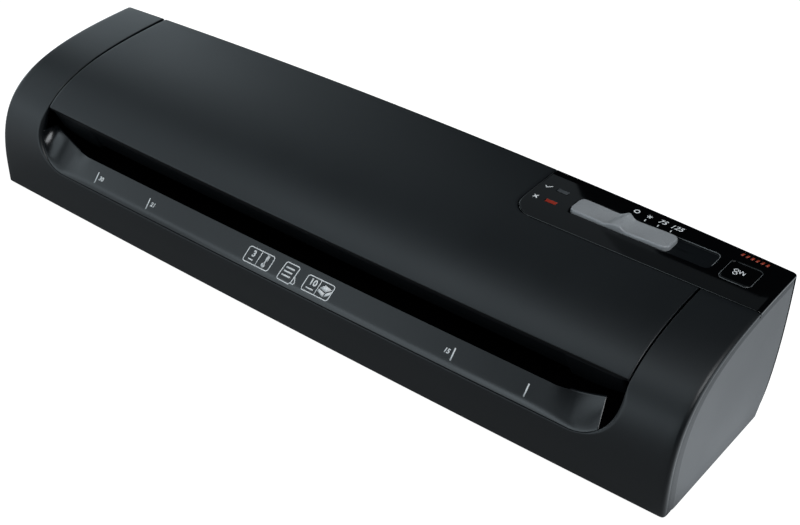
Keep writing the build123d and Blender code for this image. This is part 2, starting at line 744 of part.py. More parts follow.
NODES = {
    "housing": housing(),
    "top_cover": top_cover(),
    "rear_cover": rear_cover(),
    "base_plate": base_plate(),
    "right_end_cap": cap,
    "left_end_cap": mirror_x(cap),
    "feed_tray": feed_tray(),
    "upper_guide": upper_guide(),
    "control_panel": control_panel(),
    "slider_knob": slider_knob(),
    "slider_carriage": slider_carriage(),
    "slide_switch": slide_switch(),
    "release_button": release_button(),
    "button_guide": button_guide(),
    "button_spring": coil(GUIDE_Z + 0.1, FLANGE_Z - 0.1, BUTTON_X, BUTTON_Y, 4.2, 0.4, 3),
    "ready_lens": lens(READY_Y),
    "power_lens": lens(POWER_Y),
    "indicator_leds": indicator_leds(),
    "control_board": control_board(),
    "board_screws": board_screws(),
    "right_frame": side_frame(),
    "left_frame": left_frame(),
    "tie_bars": tie_bars(),
    "frame_screws": frame_screws(),
    "lower_bushes": bushes(LOW_Z, False),
    "upper_bushes": bushes(UP_Z, True),
    "pressure_springs": pressure_springs(),
    "lower_hot_shaft": roller_shaft(HOT_Y, LOW_Z),
    "lower_hot_sleeve": roller_sleeve(HOT_Y, LOW_Z),
    "lower_hot_gear": gear(ROLLER_TEETH, HOT_Y, LOW_Z, SHAFT_R, phase_hot),
    "upper_hot_shaft": roller_shaft(HOT_Y, UP_Z),
    "upper_hot_sleeve": roller_sleeve(HOT_Y, UP_Z),
    "upper_hot_gear": gear(ROLLER_TEETH, HOT_Y, UP_Z, SHAFT_R, phase_hot_up),
    "lower_cold_shaft": roller_shaft(COLD_Y, LOW_Z),
    "lower_cold_sleeve": roller_sleeve(COLD_Y, LOW_Z),
    "lower_cold_gear": gear(ROLLER_TEETH, COLD_Y, LOW_Z, SHAFT_R, phase_cold),
    "upper_cold_shaft": roller_shaft(COLD_Y, UP_Z),
    "upper_cold_sleeve": roller_sleeve(COLD_Y, UP_Z),
    "upper_cold_gear": gear(ROLLER_TEETH, COLD_Y, UP_Z, SHAFT_R, phase_cold_up),
    "idler_gear": gear(IDLER_TEETH, IDLER_Y, LOW_Z, 2.0 + RUN_FIT, phase_idler),
    "idler_pin": idler_pin,
    "motor_pinion": pinion + rod_x(MOTOR_FACE, GEAR_X1 + 1, PINION_Y, PINION_Z, 2.0),
    "gear_motor": gear_motor(),
    "motor_bracket": motor_bracket(),
    "motor_standoffs": motor_standoffs(),
    "motor_screws": motor_screws(),
    "upper_heat_shoe": heat_shoe(1),
    "lower_heat_shoe": heat_shoe(-1),
    "heaters": group([heater(1), heater(-1)]),
    "thermal_cutout": rod_z(13.5, 21.6, 60, HOT_Y, 7) + box(48, 72, HOT_Y - 3, HOT_Y + 3, 20.8, 21.6),
    "heat_shield": heat_shield(),
    "mid_guide": mid_guide(),
    "exit_guide": exit_guide(),
    "release_shaft": release_shaft(),
    "release_lever": arm(209.3, 213.3, RELEASE_Y, RELEASE_Z, BUTTON_Y, lever_z, 5.0, 3.0, RELEASE_R),
    "release_fork": arm(-189.5, -187.5, RELEASE_Y, RELEASE_Z, 0.0, 46.0, 5.5, 3.0, RELEASE_R),
    "power_inlet": power_inlet(),
    "power_board": power_board(),
    "base_screws": base_screws(),
    "feet": feet(),
}

for name, shape in NODES.items():
    export_step(shape, f"parts/{name}.step")
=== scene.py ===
"""Dressed model of an A3 pouch laminator: black moulded body, feed mouth with its tray, gloss control panel.

The shape functions work in millimetres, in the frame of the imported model; put_mesh writes metres.
"""

import json
import math

import bpy
import bmesh
import numpy as np
from bpy.props import FloatProperty, FloatVectorProperty, PointerProperty
from mathutils import Matrix, Vector


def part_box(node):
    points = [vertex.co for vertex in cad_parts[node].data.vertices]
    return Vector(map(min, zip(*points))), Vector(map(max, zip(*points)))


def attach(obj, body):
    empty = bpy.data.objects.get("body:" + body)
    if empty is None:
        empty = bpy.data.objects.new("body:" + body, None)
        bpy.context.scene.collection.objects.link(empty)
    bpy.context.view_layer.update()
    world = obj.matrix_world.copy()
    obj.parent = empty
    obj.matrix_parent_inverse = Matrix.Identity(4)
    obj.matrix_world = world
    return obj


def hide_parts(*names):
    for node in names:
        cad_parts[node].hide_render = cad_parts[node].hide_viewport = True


bl_info = {
    "name": "Pouch laminator",
    "version": (1, 0, 0),
    "blender": (4, 5, 0),
    "location": "View3D > Sidebar > Laminator",
    "description": "Builds the dressed pouch laminator around its packed frame",
    "category": "Object",
}

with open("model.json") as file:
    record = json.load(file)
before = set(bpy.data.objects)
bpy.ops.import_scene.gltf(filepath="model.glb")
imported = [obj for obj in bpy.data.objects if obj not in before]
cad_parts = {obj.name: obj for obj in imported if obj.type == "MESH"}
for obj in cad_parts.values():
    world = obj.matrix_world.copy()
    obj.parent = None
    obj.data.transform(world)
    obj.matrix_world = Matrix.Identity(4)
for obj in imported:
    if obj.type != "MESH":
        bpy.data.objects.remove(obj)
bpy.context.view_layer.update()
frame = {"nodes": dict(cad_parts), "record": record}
MM = 0.001


def box_mm(node):
    """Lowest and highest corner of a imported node, in millimetres."""
    low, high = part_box(node)
    return np.array(low) / MM, np.array(high) / MM


HOUSING = box_mm("housing")
COVER = box_mm("top_cover")
PANEL = box_mm("control_panel")
CAP = box_mm("right_end_cap")
KNOB = box_mm("slider_knob")
READY = box_mm("ready_lens")
POWER = box_mm("power_lens")
TRAY = box_mm("feed_tray")

# Body: one side view, bowed in plan; the knees and tucks shape the rear wall's Bezier curve
HALF = CAP[1][0]
FRONT_BOW = 2.0
REAR_BOW = 8.0
FRONT_MID = HOUSING[0][1]
REAR_MID = COVER[1][1]
FLOOR = HOUSING[0][2]
TOP = HOUSING[1][2]
SHOULDER = FLOOR + 12.0
FULLNESS = 0.78
CORNER = 1.6
LEAST_CORNER = 0.8
TOE = 17.0
REAR_KNEES = (48.0, 21.0)
REAR_TUCKS = (0.5, 4.0)
UNDER_BACK = -52.0

# Ends: the skin rounds in over a quarter ellipse and turns down beside the end cap
ROUND_X = HALF - 3.0
ROUND_LEN = 2.6
ROUND_IN = (2.8, 1.2, 1.6, 0.2)
RIM_X = HALF - 0.9
RIM_IN = (3.5, 2.1, 2.2, 0.3)
FACE_IN = (8.8, 4.6, 4.2, 0.3)
POCKET = 1.2

# Mouth and lip
MOUTH_HALF = 200.1
MOUTH_LOW = 28.4
MOUTH_R = 23.0
MOUTH_FILLET = 2.6
LIP = COVER[0][2] + 0.4
LIP_RISE = 0.7
LIP_FACE = 2.1
LIP_HALF = 200.0

# Grooves: half-widths at the front and rear end of a span about the middle
GROOVE_SPAN = 70.0
CHEEK_EDGE = (199.7, 202.8)
COVER_EDGE = (199.3, 200.6)
GROOVE_DEPTH = 2.1
EDGE_R = 0.4
EDGE_WALL = 1.8
WALL = 2.2
SEAM = 0.4
SHEET = 0.8

# Lines along X, as (y, z), that faces look away from: inside the body, and under the panel
BODY_AXIS = (0.0, 30.0)
TOP_AXIS = (30.0, 0.0)

# Feed tray and the dark throat above it
RAMP_BACK = -47.0
SHELF = 41.5

# Control panel
PANEL_LEFT = PANEL[0][0]
PANEL_FRONT = PANEL[0][1]
PANEL_FOOT = PANEL[0][2]
PANEL_R = 12.0
TRACK_AT = (156.65, 36.3)
TRACK_SIZE = (80.9, 14.2, 3.2)
TRACK_DEPTH = 1.1
BUTTON_AT = (211.3, 35.0)
BUTTON_SIZE = (16.6, 15.6, 2.8)
BUTTON_GAP = 0.35
BUTTON_WELL = 6.3
LENS_HOLE = (6.7, 2.7, 0.6)
KNOB_FOOT = 78.75
KNOB_RIDGE = 2.4
KNOB_DISH = 1.1
KNOB_REACH = 6.75

# ---------------------------------------------------------------- shape functions


def bow(x):
    """How far the front swells forward at station x: a parabola, nothing at the ends."""
    return FRONT_BOW * (1 - (x / HALF) ** 2)


def front_line(x):
    """Front of the body in plan."""
    return FRONT_MID + FRONT_BOW - bow(x)


def rear_line(x):
    """Top rear edge in plan: a parabola that swells the other way."""
    return REAR_MID - REAR_BOW * (x / HALF) ** 2


def bernstein(t):
    """The four cubic Bezier weights at t."""
    s = 1.0 - t
    return s**3, 3 * s * s * t, 3 * s * t * t, t**3


def smooth(t):
    """Rises from 0 to 1 without a kink: 3t^2 - 2t^3."""
    t = np.clip(t, 0, 1)
    return t * t * (3 - 2 * t)


STEPS = np.linspace(0.0, 1.0, 4001)
B0, B1, B2, B3 = bernstein(STEPS)
HEIGHTS = SHOULDER * B0 + (SHOULDER + FULLNESS * (TOP - SHOULDER)) * B1 + TOP * (B2 + B3)
DEPTHS = (1 - FULLNESS) * B2 + B3
FALLS = (TOP - CORNER) * B0 + REAR_KNEES[0] * B1 + REAR_KNEES[1] * B2 + FLOOR * B3


def skin(x, q, f=0.0, t=0.0, r=0.0, b=0.0):
    """Point of the body's skin at station x and profile parameter q, drawn in by f, t, r, b.

    q runs round the side view: -1..0 underside, 0..1 toe arc, 1..2 upright front, 2..3 the full
    Bezier curve over to the top, 3..4 rear corner arc, 4..5 Bezier rear wall, 5..6 underside.
    """
    x, q, f, t, r, b = np.broadcast_arrays(*[np.asarray(v, float) for v in (x, q, f, t, r, b)])
    yf = front_line(x) + f
    yr = rear_line(x) - r
    zt = TOP - t
    zb = FLOOR + b
    rf = np.maximum(CORNER - np.maximum(f, b), LEAST_CORNER)
    rr = np.maximum(CORNER - np.maximum(r, t), LEAST_CORNER)
    ye = yr - rr
    foot = rear_line(x) - TOE - r
    rise = zt - SHOULDER
    part = np.clip(np.floor(q), -1, 5)
    u = q - part
    a = u * math.pi / 2
    c0, c1, c2, c3 = bernstein(u)
    over = ye - FULLNESS * (ye - yf)
    which = [part == k for k in range(-1, 6)]
    y = np.select(
        which,
        [
            UNDER_BACK + (yf + rf - UNDER_BACK) * u,
            yf + rf - rf * np.sin(a),
            yf,
            yf * (c0 + c1) + over * c2 + ye * c3,
            ye + rr * np.sin(a),
            yr * c0 + (yr - REAR_TUCKS[0]) * c1 + (yr - REAR_TUCKS[1]) * c2 + foot * c3,
            foot + (yf + rf - foot) * u,
        ],
    )
    z = np.select(
        which,
        [
            zb,
            zb + rf - rf * np.cos(a),
            zb + rf + (SHOULDER - zb - rf) * u,
            SHOULDER * c0 + (SHOULDER + FULLNESS * rise) * c1 + zt * (c2 + c3),
            zt - rr + rr * np.cos(a),
            (zt - rr) * c0 + REAR_KNEES[0] * c1 + REAR_KNEES[1] * c2 + zb * c3,
            zb,
        ],
    )
    return np.stack([x, y, z], -1)


def sunk(x, q, depth=0.0, insets=(0.0, 0.0, 0.0, 0.0)):
    """Point of the skin moved inwards by depth, square to the side view's own curve."""
    point = skin(x, q, *insets)
    step = skin(x, q + 2e-4, *insets) - skin(x, q - 2e-4, *insets)
    length = np.hypot(step[..., 1], step[..., 2])
    point[..., 1] += depth * step[..., 2] / length
    point[..., 2] -= depth * step[..., 1] / length
    return point


def q_at_height(z):
    """Profile parameter where the front reaches height z: on the upright, or above it on the curve."""
    upright = 1.0 + (z - FLOOR - CORNER) / (SHOULDER - FLOOR - CORNER)
    return np.where(z < SHOULDER, upright, 2.0 + np.interp(z, HEIGHTS, STEPS))


def q_at_depth(x, y):
    """Profile parameter where the front curve at station x reaches depth y."""
    yf = front_line(x)
    ye = rear_line(x) - CORNER
    return 2.0 + np.interp((y - yf) / (ye - yf), DEPTHS, STEPS)


Q_REAR = 4.0 + float(np.interp(-PANEL_FOOT, -FALLS, STEPS))


def past_top(count):
    """Profile parameters over the rear corner in count steps, then down the rear wall to Q_REAR."""
    return np.concatenate([np.linspace(3, 4, count + 1)[1:], np.linspace(4, Q_REAR, 4)[1:]])


def carried_back(q, climb):
    """Rows of profile parameters that follow q's last row: up in climb steps, over and down the back."""
    up = q[-1:] + (3.0 - q[-1:]) * np.linspace(0, 1, climb + 1)[1:, None]
    over = past_top(8)[:, None] + 0 * q[-1:]
    return np.concatenate([up, over])


def on_top(x, y, lift=0.0):
    """Point above the plan position (x, y) at the height of the skin plus lift."""
    x, y, lift = np.broadcast_arrays(*[np.asarray(v, float) for v in (x, y, lift)])
    return np.stack([x, y, skin(x, q_at_depth(x, y))[..., 2] + lift], -1)


def lip_height(x):
    """Height of the cover's front edge: it climbs by LIP_RISE towards the ends, as a parabola."""
    return LIP + LIP_RISE * (x / LIP_HALF) ** 2


def rolled(distance, wall=WALL):
    """Depth below the skin near an edge: a quarter circle over the last EDGE_R, and wall past the edge."""
    d = np.clip(distance, 0, EDGE_R)
    roll = EDGE_R - np.sqrt(np.maximum(EDGE_R**2 - (EDGE_R - d) ** 2, 0))
    return np.where(distance < 0, wall, roll)


EDGE_STEPS = np.array([-1.0, 0.0, 0.03, 0.1, 0.22, EDGE_R])
EDGE_AT = np.maximum(EDGE_STEPS, 0.0)


def edge_band(radius, reach=12.0):
    """Distances and depths across an edge of any radius: wall, quarter circle, then flat out to reach."""
    radius = np.atleast_1d(radius)[:, None]
    a = np.radians([90, 90, 76, 62, 48, 34, 20, 8, 0])[None, :]
    flat = np.array([0.08, 0.22, 0.4, 0.62, 0.82, 1.0])[None, :]
    at = np.concatenate([radius * (1 - np.sin(a)), radius + (reach - radius) * flat], 1)
    drop = np.concatenate([radius * (1 - np.cos(a)), 0 * radius * flat], 1)
    drop[:, 0] += EDGE_WALL
    return at, drop


def groove_edge(y, ends):
    """Half-width of the cover or of the cheeks' opening: a straight line in plan, wider at the rear."""
    return ends[0] + (ends[1] - ends[0]) * (y + GROOVE_SPAN) / (2 * GROOVE_SPAN)


def loop_of(size, inset=0.0, straight=(24, 8), arc=9):
    """Closed loop round a rectangle (length, width, corner radius) drawn in by inset, counter-clockwise."""
    a = size[0] / 2 - inset
    b = size[1] / 2 - inset
    r = min(max(size[2] - inset, 0.04), a, b)
    turn = np.linspace(0, math.pi / 2, arc)
    xs = np.linspace(-1, 1, straight[0] + 1)[1:-1] * (a - r)
    ys = np.linspace(-1, 1, straight[1] + 1)[1:-1] * (b - r)
    quarter = np.stack([np.cos(turn), np.sin(turn)], -1) * r
    rot = np.array([[0.0, 1.0], [-1.0, 0.0]])
    corners = [quarter @ np.linalg.matrix_power(rot, k) for k in range(4)]
    centres = np.array([[a - r, b - r], [r - a, b - r], [r - a, r - b], [a - r, r - b]])
    sides = [
        np.stack([xs[::-1], xs * 0 + b], -1),
        np.stack([ys * 0 - a, ys[::-1]], -1),
        np.stack([xs, xs * 0 - b], -1),
        np.stack([ys * 0 + a, ys], -1),
    ]
    parts = []
    for k in range(4):
        parts += [corners[k] + centres[k], sides[k]]
    loop = np.concatenate(parts)
    return np.concatenate([loop, loop[:1]])


# ---------------------------------------------------------------- meshes


def grid_faces(n, m):
    """Quads of an n by m grid of points numbered row by row."""
    i = np.arange(n - 1)[:, None] * m + np.arange(m - 1)[None, :]
    return np.stack([i, i + 1, i + m + 1, i + m], -1).reshape(-1, 4)


def put_mesh(name, patches, finish_name, body="body", replaces=(), inside=None, facing=None, crease=40):
    """Joins grids of points (n, m, 3) in millimetres into one smooth mesh that rides on a body.

    Each grid is turned so that its faces look along facing, or away from the line inside, (y, z),
    that runs along X, or else away from its own middle.
    """
    points = []
    faces = []
    count = 0
    for patch in patches:
        patch, keep = patch if isinstance(patch, tuple) else (patch, None)
        patch = np.asarray(patch, float)
        n, m = patch.shape[:2]
        quads = grid_faces(n, m)
        if keep is not None:
            quads = quads[keep.reshape(-1)]
        flat = patch.reshape(-1, 3)
        a, b, c, d = (flat[quads[:, k]] for k in range(4))
        normal = np.cross(c - a, d - b)
        if facing is not None:
            out = np.array(facing, float)[None, :]
        elif inside is not None:
            out = (a + c) / 2 - np.array([0, *inside])
            out[:, 0] = 0
        else:
            out = (a + c) / 2 - (flat.min(0) + flat.max(0)) / 2
        if (normal * out).sum() < 0:
            quads = quads[:, ::-1]
        points.append(flat)
        faces.append(quads + count)
        count += len(flat)
    mesh = bpy.data.meshes.new(name)
    mesh.from_pydata((np.concatenate(points) * MM).tolist(), [], np.concatenate(faces).tolist())
    return finish_mesh(name, mesh, finish_name, body, replaces, crease)


def finish_mesh(name, mesh, finish_name, body, replaces=(), crease=40):
    """Merges doubles, drops flat faces and loose points, smooths, and puts the piece on its body."""
    work = bmesh.new()
    work.from_mesh(mesh)
    bmesh.ops.remove_doubles(work, verts=work.verts, dist=2e-6)
    bmesh.ops.dissolve_degenerate(work, edges=work.edges, dist=1e-7)
    loose = [v for v in work.verts if not v.link_faces]
    bmesh.ops.delete(work, geom=loose, context="VERTS")
    work.to_mesh(mesh)
    work.free()
    mesh.shade_smooth()
    mesh.set_sharp_from_angle(angle=math.radians(crease))
    piece = bpy.data.objects.new(name, mesh)
    bpy.context.scene.collection.objects.link(piece)
    mesh.materials.append(finish(finish_name))
    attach(piece, body)
    if replaces:
        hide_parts(*replaces)
    return piece


def mirrored(patch):
    """The same grid on the other side of the middle plane."""
    return patch * np.array([-1.0, 1.0, 1.0])


def both_sides(patches):
    """Grids of the right-hand side with their mirror images."""
    return [p for patch in patches for p in (patch, mirrored(patch))]


def thicken(piece, thickness):
    """Gives a skin a wall on its inner side."""
    solid = piece.modifiers.new("wall", "SOLIDIFY")
    solid.thickness = thickness * MM
    solid.offset = -1.0
    solid.use_rim = True
    return piece

# ---------------------------------------------------------------- materials


def new_group(name, inputs, outputs):
    """An empty shader node group with named sockets."""
    group = bpy.data.node_groups.new(name, "ShaderNodeTree")
    for label, value in inputs:
        socket = group.interface.new_socket(label, in_out="INPUT", socket_type="NodeSocketFloat")
        socket.default_value = value
    for label, kind in outputs:
        group.interface.new_socket(label, in_out="OUTPUT", socket_type=kind)
    entry = group.nodes.new("NodeGroupInput")
    leave = group.nodes.new("NodeGroupOutput")
    return group, entry, leave


def add(tree, kind, values=(), links=(), **settings):
    """Adds a node, sets its properties and socket values, and links its inputs."""
    node = tree.nodes.new(kind)
    for key, value in settings.items():
        setattr(node, key, value)
    for key, value in values:
        node.inputs[key].default_value = value
    for key, source in links:
        tree.links.new(source, node.inputs[key])
    return node


def moulded_grain():
    """Spark-eroded mould: noise and pits for the height, slow noise for tone, fine noise for speckle."""
    group, entry, leave = new_group(
        "Moulded grain",
        [("Size", 2400.0), ("Unevenness", 14.0)],
        [("Height", "NodeSocketFloat"), ("Tone", "NodeSocketFloat"), ("Speckle", "NodeSocketFloat")],
    )
    place = add(group, "ShaderNodeTexCoord").outputs["Object"]
    close = [("Vector", place), ("Scale", entry.outputs["Size"])]
    fine = add(group, "ShaderNodeTexNoise", [("Detail", 3.0)], close)
    pits = add(group, "ShaderNodeTexVoronoi", [], close)
    both = [(0, fine.outputs["Fac"]), (1, pits.outputs["Distance"])]
    height = add(group, "ShaderNodeMath", [], both, operation="ADD")
    wide = [("Vector", place), ("Scale", entry.outputs["Unevenness"])]
    slow = add(group, "ShaderNodeTexNoise", [("Detail", 4.0)], wide)
    group.links.new(height.outputs[0], leave.inputs["Height"])
    group.links.new(slow.outputs["Fac"], leave.inputs["Tone"])
    group.links.new(fine.outputs["Fac"], leave.inputs["Speckle"])
    return group


def brushed_lines():
    """Rolled or drawn metal: noise stretched along one axis, with a slow tone over it."""
    group, entry, leave = new_group(
        "Brushed lines",
        [("Size", 900.0), ("Stretch", 0.03)],
        [("Height", "NodeSocketFloat"), ("Tone", "NodeSocketFloat")],
    )
    place = add(group, "ShaderNodeTexCoord").outputs["Object"]
    parts = add(group, "ShaderNodeSeparateXYZ", [], [("Vector", place)])
    shorter = [(0, parts.outputs["X"]), (1, entry.outputs["Stretch"])]
    along = add(group, "ShaderNodeMath", [], shorter, operation="MULTIPLY")
    joined = [("X", along.outputs[0]), ("Y", parts.outputs["Y"]), ("Z", parts.outputs["Z"])]
    drawn = add(group, "ShaderNodeCombineXYZ", [], joined)
    fine = [("Vector", drawn.outputs[0]), ("Scale", entry.outputs["Size"])]
    lines = add(group, "ShaderNodeTexNoise", [("Detail", 2.0)], fine)
    slow = add(group, "ShaderNodeTexNoise", [("Scale", 25.0), ("Detail", 3.0)], [("Vector", place)])
    group.links.new(lines.outputs["Fac"], leave.inputs["Height"])
    group.links.new(slow.outputs["Fac"], leave.inputs["Tone"])
    return group


GROUPS = {}


def shared(maker):
    """Builds a node group the first time that a material asks for it."""
    if maker.__name__ not in GROUPS:
        GROUPS[maker.__name__] = maker()
    return GROUPS[maker.__name__]


def ranged(tree, source, start, end, low=0.0, high=1.0):
    """Maps source from start..end to low..high, held at both ends."""
    ends = [("From Min", start), ("From Max", end), ("To Min", low), ("To Max", high)]
    return add(tree, "ShaderNodeMapRange", ends, [("Value", source)]).outputs["Result"]


def finish_of(name, low, high, rough, bump, constants=(), maker=moulded_grain, size=None, speckle=0.0):
    """A Principled material whose colour and roughness wander between two values, with a fine bump.

    rough holds the lowest and highest roughness, bump its strength and its height in millimetres.
    """
    mat = bpy.data.materials.new(name)
    mat.use_nodes = True
    tree = mat.node_tree
    shader = tree.nodes["Principled BSDF"]
    group = add(tree, "ShaderNodeGroup", node_tree=shared(maker))
    if size:
        group.inputs["Size"].default_value = size
    tone = group.outputs["Tone"]
    colours = [(6, (*low, 1.0)), (7, (*high, 1.0))]
    share = [(0, ranged(tree, tone, 0.35, 0.65))]
    colour = add(tree, "ShaderNodeMix", colours, share, data_type="RGBA").outputs[2]
    if speckle:
        spots = ranged(tree, group.outputs["Speckle"], 0.3, 0.7, 1.0 - speckle, 1.0 + speckle)
        both = [(6, colour), (7, spots)]
        tinted = add(tree, "ShaderNodeMix", [(0, 1.0)], both, data_type="RGBA", blend_type="MULTIPLY")
        colour = tinted.outputs[2]
    tree.links.new(colour, shader.inputs["Base Color"])
    tree.links.new(ranged(tree, tone, 0.3, 0.7, *rough), shader.inputs["Roughness"])
    depth = [("Strength", bump[0]), ("Distance", bump[1] * MM)]
    relief = add(tree, "ShaderNodeBump", depth, [("Height", group.outputs["Height"])])
    tree.links.new(relief.outputs["Normal"], shader.inputs["Normal"])
    for key, value in constants:
        shader.inputs[key].default_value = value
    return mat


# Adjustable finishes: property, its share in the dark places, roughness, bump, speckle
CHOSEN = {
    "black_shell": ("shell", 0.88, (0.38, 0.44), (0.10, 0.02), 0.12),
    "end_black": ("end_cap", 0.88, (0.46, 0.52), (0.15, 0.02), 0.2),
    "panel_gloss": ("panel", 0.9, (0.035, 0.06), (0.004, 0.01), 0.0),
    "knob_grey": ("knob", 0.93, (0.24, 0.3), (0.08, 0.02), 0.08),
}

METAL = [("Metallic", 1.0)]


def dull(level):
    """Principled constants of a surface that mirrors little."""
    return [("Specular IOR Level", level)]


# What follows the bump of brushed metal, and of a lens: constants, texture, and a finer grain
BRUSHED = (METAL, brushed_lines)
FINE = ((), moulded_grain, 1200.0)

# Fixed finishes: darkest and lightest colour, roughness, bump, then what only some of them need
FIXED = {
    "tray_black": ((0.005, 0.0058, 0.0068), (0.006, 0.007, 0.008), (0.2, 0.25), (0.02, 0.01)),
    # A darker, duller, bluish copy of the tray's black: painted shade on the throat under the lip and on the
    # floors of the panel's openings
    "guide_black": ((0.002, 0.0031, 0.0042), (0.0024, 0.0036, 0.0048), (0.45, 0.5), (0.05, 0.02), dull(0.2)),
    # Near-zero black: painted shade on the groove floors, the tray's upturned right end, the shelf behind the
    # slope and the walls round the mouth's ends
    "void_black": ((0.0002, 0.0002, 0.0003), (0.0004, 0.0004, 0.0005), (0.8, 0.9), (0.05, 0.02), dull(0.0)),
    # A darker, duller copy of the shell's black: painted shade on the cover's upright lip face
    "lip_black": ((0.002, 0.0024, 0.003), (0.003, 0.0035, 0.0045), (0.42, 0.48), (0.05, 0.02), dull(0.25)),
    "inner_black": ((0.014, 0.014, 0.015), (0.024, 0.024, 0.026), (0.5, 0.62), (0.2, 0.03)),
    "rubber_black": ((0.012, 0.012, 0.012), (0.022, 0.022, 0.021), (0.7, 0.85), (0.3, 0.05)),
    # Light grey lines on the rims of the track and of the button's opening: painted highlights, not print
    "grey_ink": ((0.14, 0.15, 0.155), (0.17, 0.18, 0.185), (0.3, 0.4), (0.05, 0.01)),
    "white_ink": ((0.90, 0.91, 0.91), (0.95, 0.96, 0.96), (0.4, 0.5), (0.05, 0.01)),
    "red_ink": ((0.34, 0.035, 0.012), (0.4, 0.045, 0.016), (0.4, 0.5), (0.05, 0.01)),
    "ready_window": ((0.05, 0.055, 0.06), (0.14, 0.15, 0.155), (0.15, 0.3), (0.5, 0.2), *FINE),
    "power_window": ((0.30, 0.02, 0.008), (0.62, 0.06, 0.025), (0.15, 0.3), (0.5, 0.2), *FINE),
    "plated_steel": ((0.50, 0.51, 0.52), (0.62, 0.62, 0.61), (0.28, 0.42), (0.06, 0.02), *BRUSHED),
    "spring_wire": ((0.36, 0.37, 0.39), (0.46, 0.47, 0.49), (0.2, 0.3), (0.05, 0.01), *BRUSHED),
    "aluminium": ((0.70, 0.71, 0.73), (0.78, 0.79, 0.80), (0.3, 0.42), (0.08, 0.02), *BRUSHED),
    "bronze": ((0.50, 0.36, 0.15), (0.62, 0.46, 0.2), (0.36, 0.5), (0.15, 0.02), METAL),
    "silicone": ((0.20, 0.045, 0.025), (0.26, 0.06, 0.035), (0.5, 0.62), (0.1, 0.02)),
    "acetal": ((0.68, 0.68, 0.62), (0.76, 0.76, 0.7), (0.35, 0.45), (0.05, 0.02)),
    "mica": ((0.30, 0.24, 0.13), (0.42, 0.35, 0.2), (0.3, 0.5), (0.2, 0.03)),
    "board_green": ((0.012, 0.06, 0.022), (0.016, 0.085, 0.03), (0.3, 0.4), (0.05, 0.02)),
}

MATERIALS = {}


def finish(name):
    """The named finish, made once."""
    if name not in MATERIALS:
        if name in CHOSEN:
            label, share, rough, bump, speckle = CHOSEN[name]
            colour = getattr(bpy.context.scene.laminator_finishes, label)
            low = [v * share for v in colour]
            MATERIALS[name] = finish_of(name, low, colour, rough, bump, speckle=speckle)
        else:
            MATERIALS[name] = finish_of(name, *FIXED[name])
    return MATERIALS[name]


SLOT_FINISH = {
    "black_shell": "black_shell",
    "end_black": "end_black",
    "tray_black": "tray_black",
    "panel_black": "panel_gloss",
    "knob_grey": "knob_grey",
    "green_lens": "ready_window",
    "red_lens": "power_window",
    "black_plastic": "inner_black",
    "steel": "plated_steel",
    "spring_steel": "spring_wire",
    "silicone": "silicone",
    "acetal": "acetal",
    "aluminium": "aluminium",
    "mica": "mica",
    "board_green": "board_green",
    "brass": "bronze",
    "rubber_black": "rubber_black",
    "white_led": "white_ink",
}

SLOT_OF = {name: slot for slot, name in SLOT_FINISH.items()}
# The painted-shade copies count under the slots of the materials that they darken, and the painted highlight
# grey under the white print's slot
SLOT_OF |= {
    "red_ink": "red_lens",
    "guide_black": "tray_black",
    "void_black": "tray_black",
    "lip_black": "black_shell",
    "grey_ink": "white_led",
}

# ---------------------------------------------------------------- housing

MOUTH_TOP = LIP + LIP_RISE + 0.2

# Steps along the mouth's outline: its straight bottom, its corner, its upright end
FLAT_N = 45
TURN_N = 36
RISE_N = 8
# Shares of the way from an edge's band out to the rounded end
SPREAD = np.linspace(0, 1, 8)[1:]


def mouth_line():
    """Right half of the mouth's outline in front view, with its outward normals and edge radius.

    Straight along the bottom, a quarter circle, then up to the lip. The edge is crisp along the
    bottom and turns into a soft fillet round the corner, which tightens again at the lip.
    """
    flat = MOUTH_HALF - MOUTH_R
    centre = MOUTH_LOW + MOUTH_R
    phi = np.linspace(0, math.pi / 2, TURN_N + 1)[1:]
    high = np.linspace(centre, MOUTH_TOP, RISE_N + 1)[1:]
    bottom = np.linspace(0, flat, FLAT_N)
    still = np.zeros(FLAT_N)
    x = np.concatenate([bottom, flat + MOUTH_R * np.sin(phi), 0 * high + MOUTH_HALF])
    z = np.concatenate([still + MOUTH_LOW, centre - MOUTH_R * np.cos(phi), high])
    nx = np.concatenate([still, np.sin(phi), np.ones(RISE_N)])
    nz = np.concatenate([still - 1, -np.cos(phi), np.zeros(RISE_N)])
    up = (z - centre) / (high[-1] - centre)
    groove = groove_edge(skin(LIP_HALF, q_at_height(MOUTH_TOP))[1], CHEEK_EDGE)
    x += np.clip(up, 0, 1) ** 2 * (groove - MOUTH_HALF)
    turn = np.concatenate([still, phi, np.full(RISE_N, math.pi / 2)])
    soft = smooth((turn - 0.25) / 1.1) * (1 - smooth(up))
    return x, z, nx, nz, EDGE_R + (MOUTH_FILLET - EDGE_R) * soft


def rounding(n):
    """Stations and draw-ins over the rounded end: a quarter ellipse, a narrow flat, then the cap's pocket."""
    a = np.linspace(0, math.pi / 2, n + 1)
    end = ROUND_X + ROUND_LEN
    x = np.concatenate([ROUND_X + ROUND_LEN * np.sin(a), [end, end - POCKET]])
    k = 1 - np.cos(a)
    pocket = [max(p - SEAM, v) for v, p in zip(ROUND_IN, RIM_IN)]
    return x, [np.concatenate([v * k, [p, p]]) for v, p in zip(ROUND_IN, pocket)]


def side_strip(q, depth=0.0):
    """The rounded right end that continues rows of profile parameters q past the flat of the skin."""
    x, drops = rounding(7)
    depth = np.broadcast_to(depth, np.shape(q))[:, None]
    return sunk(x[None, :], np.asarray(q)[:, None], depth, [d[None, :] for d in drops])


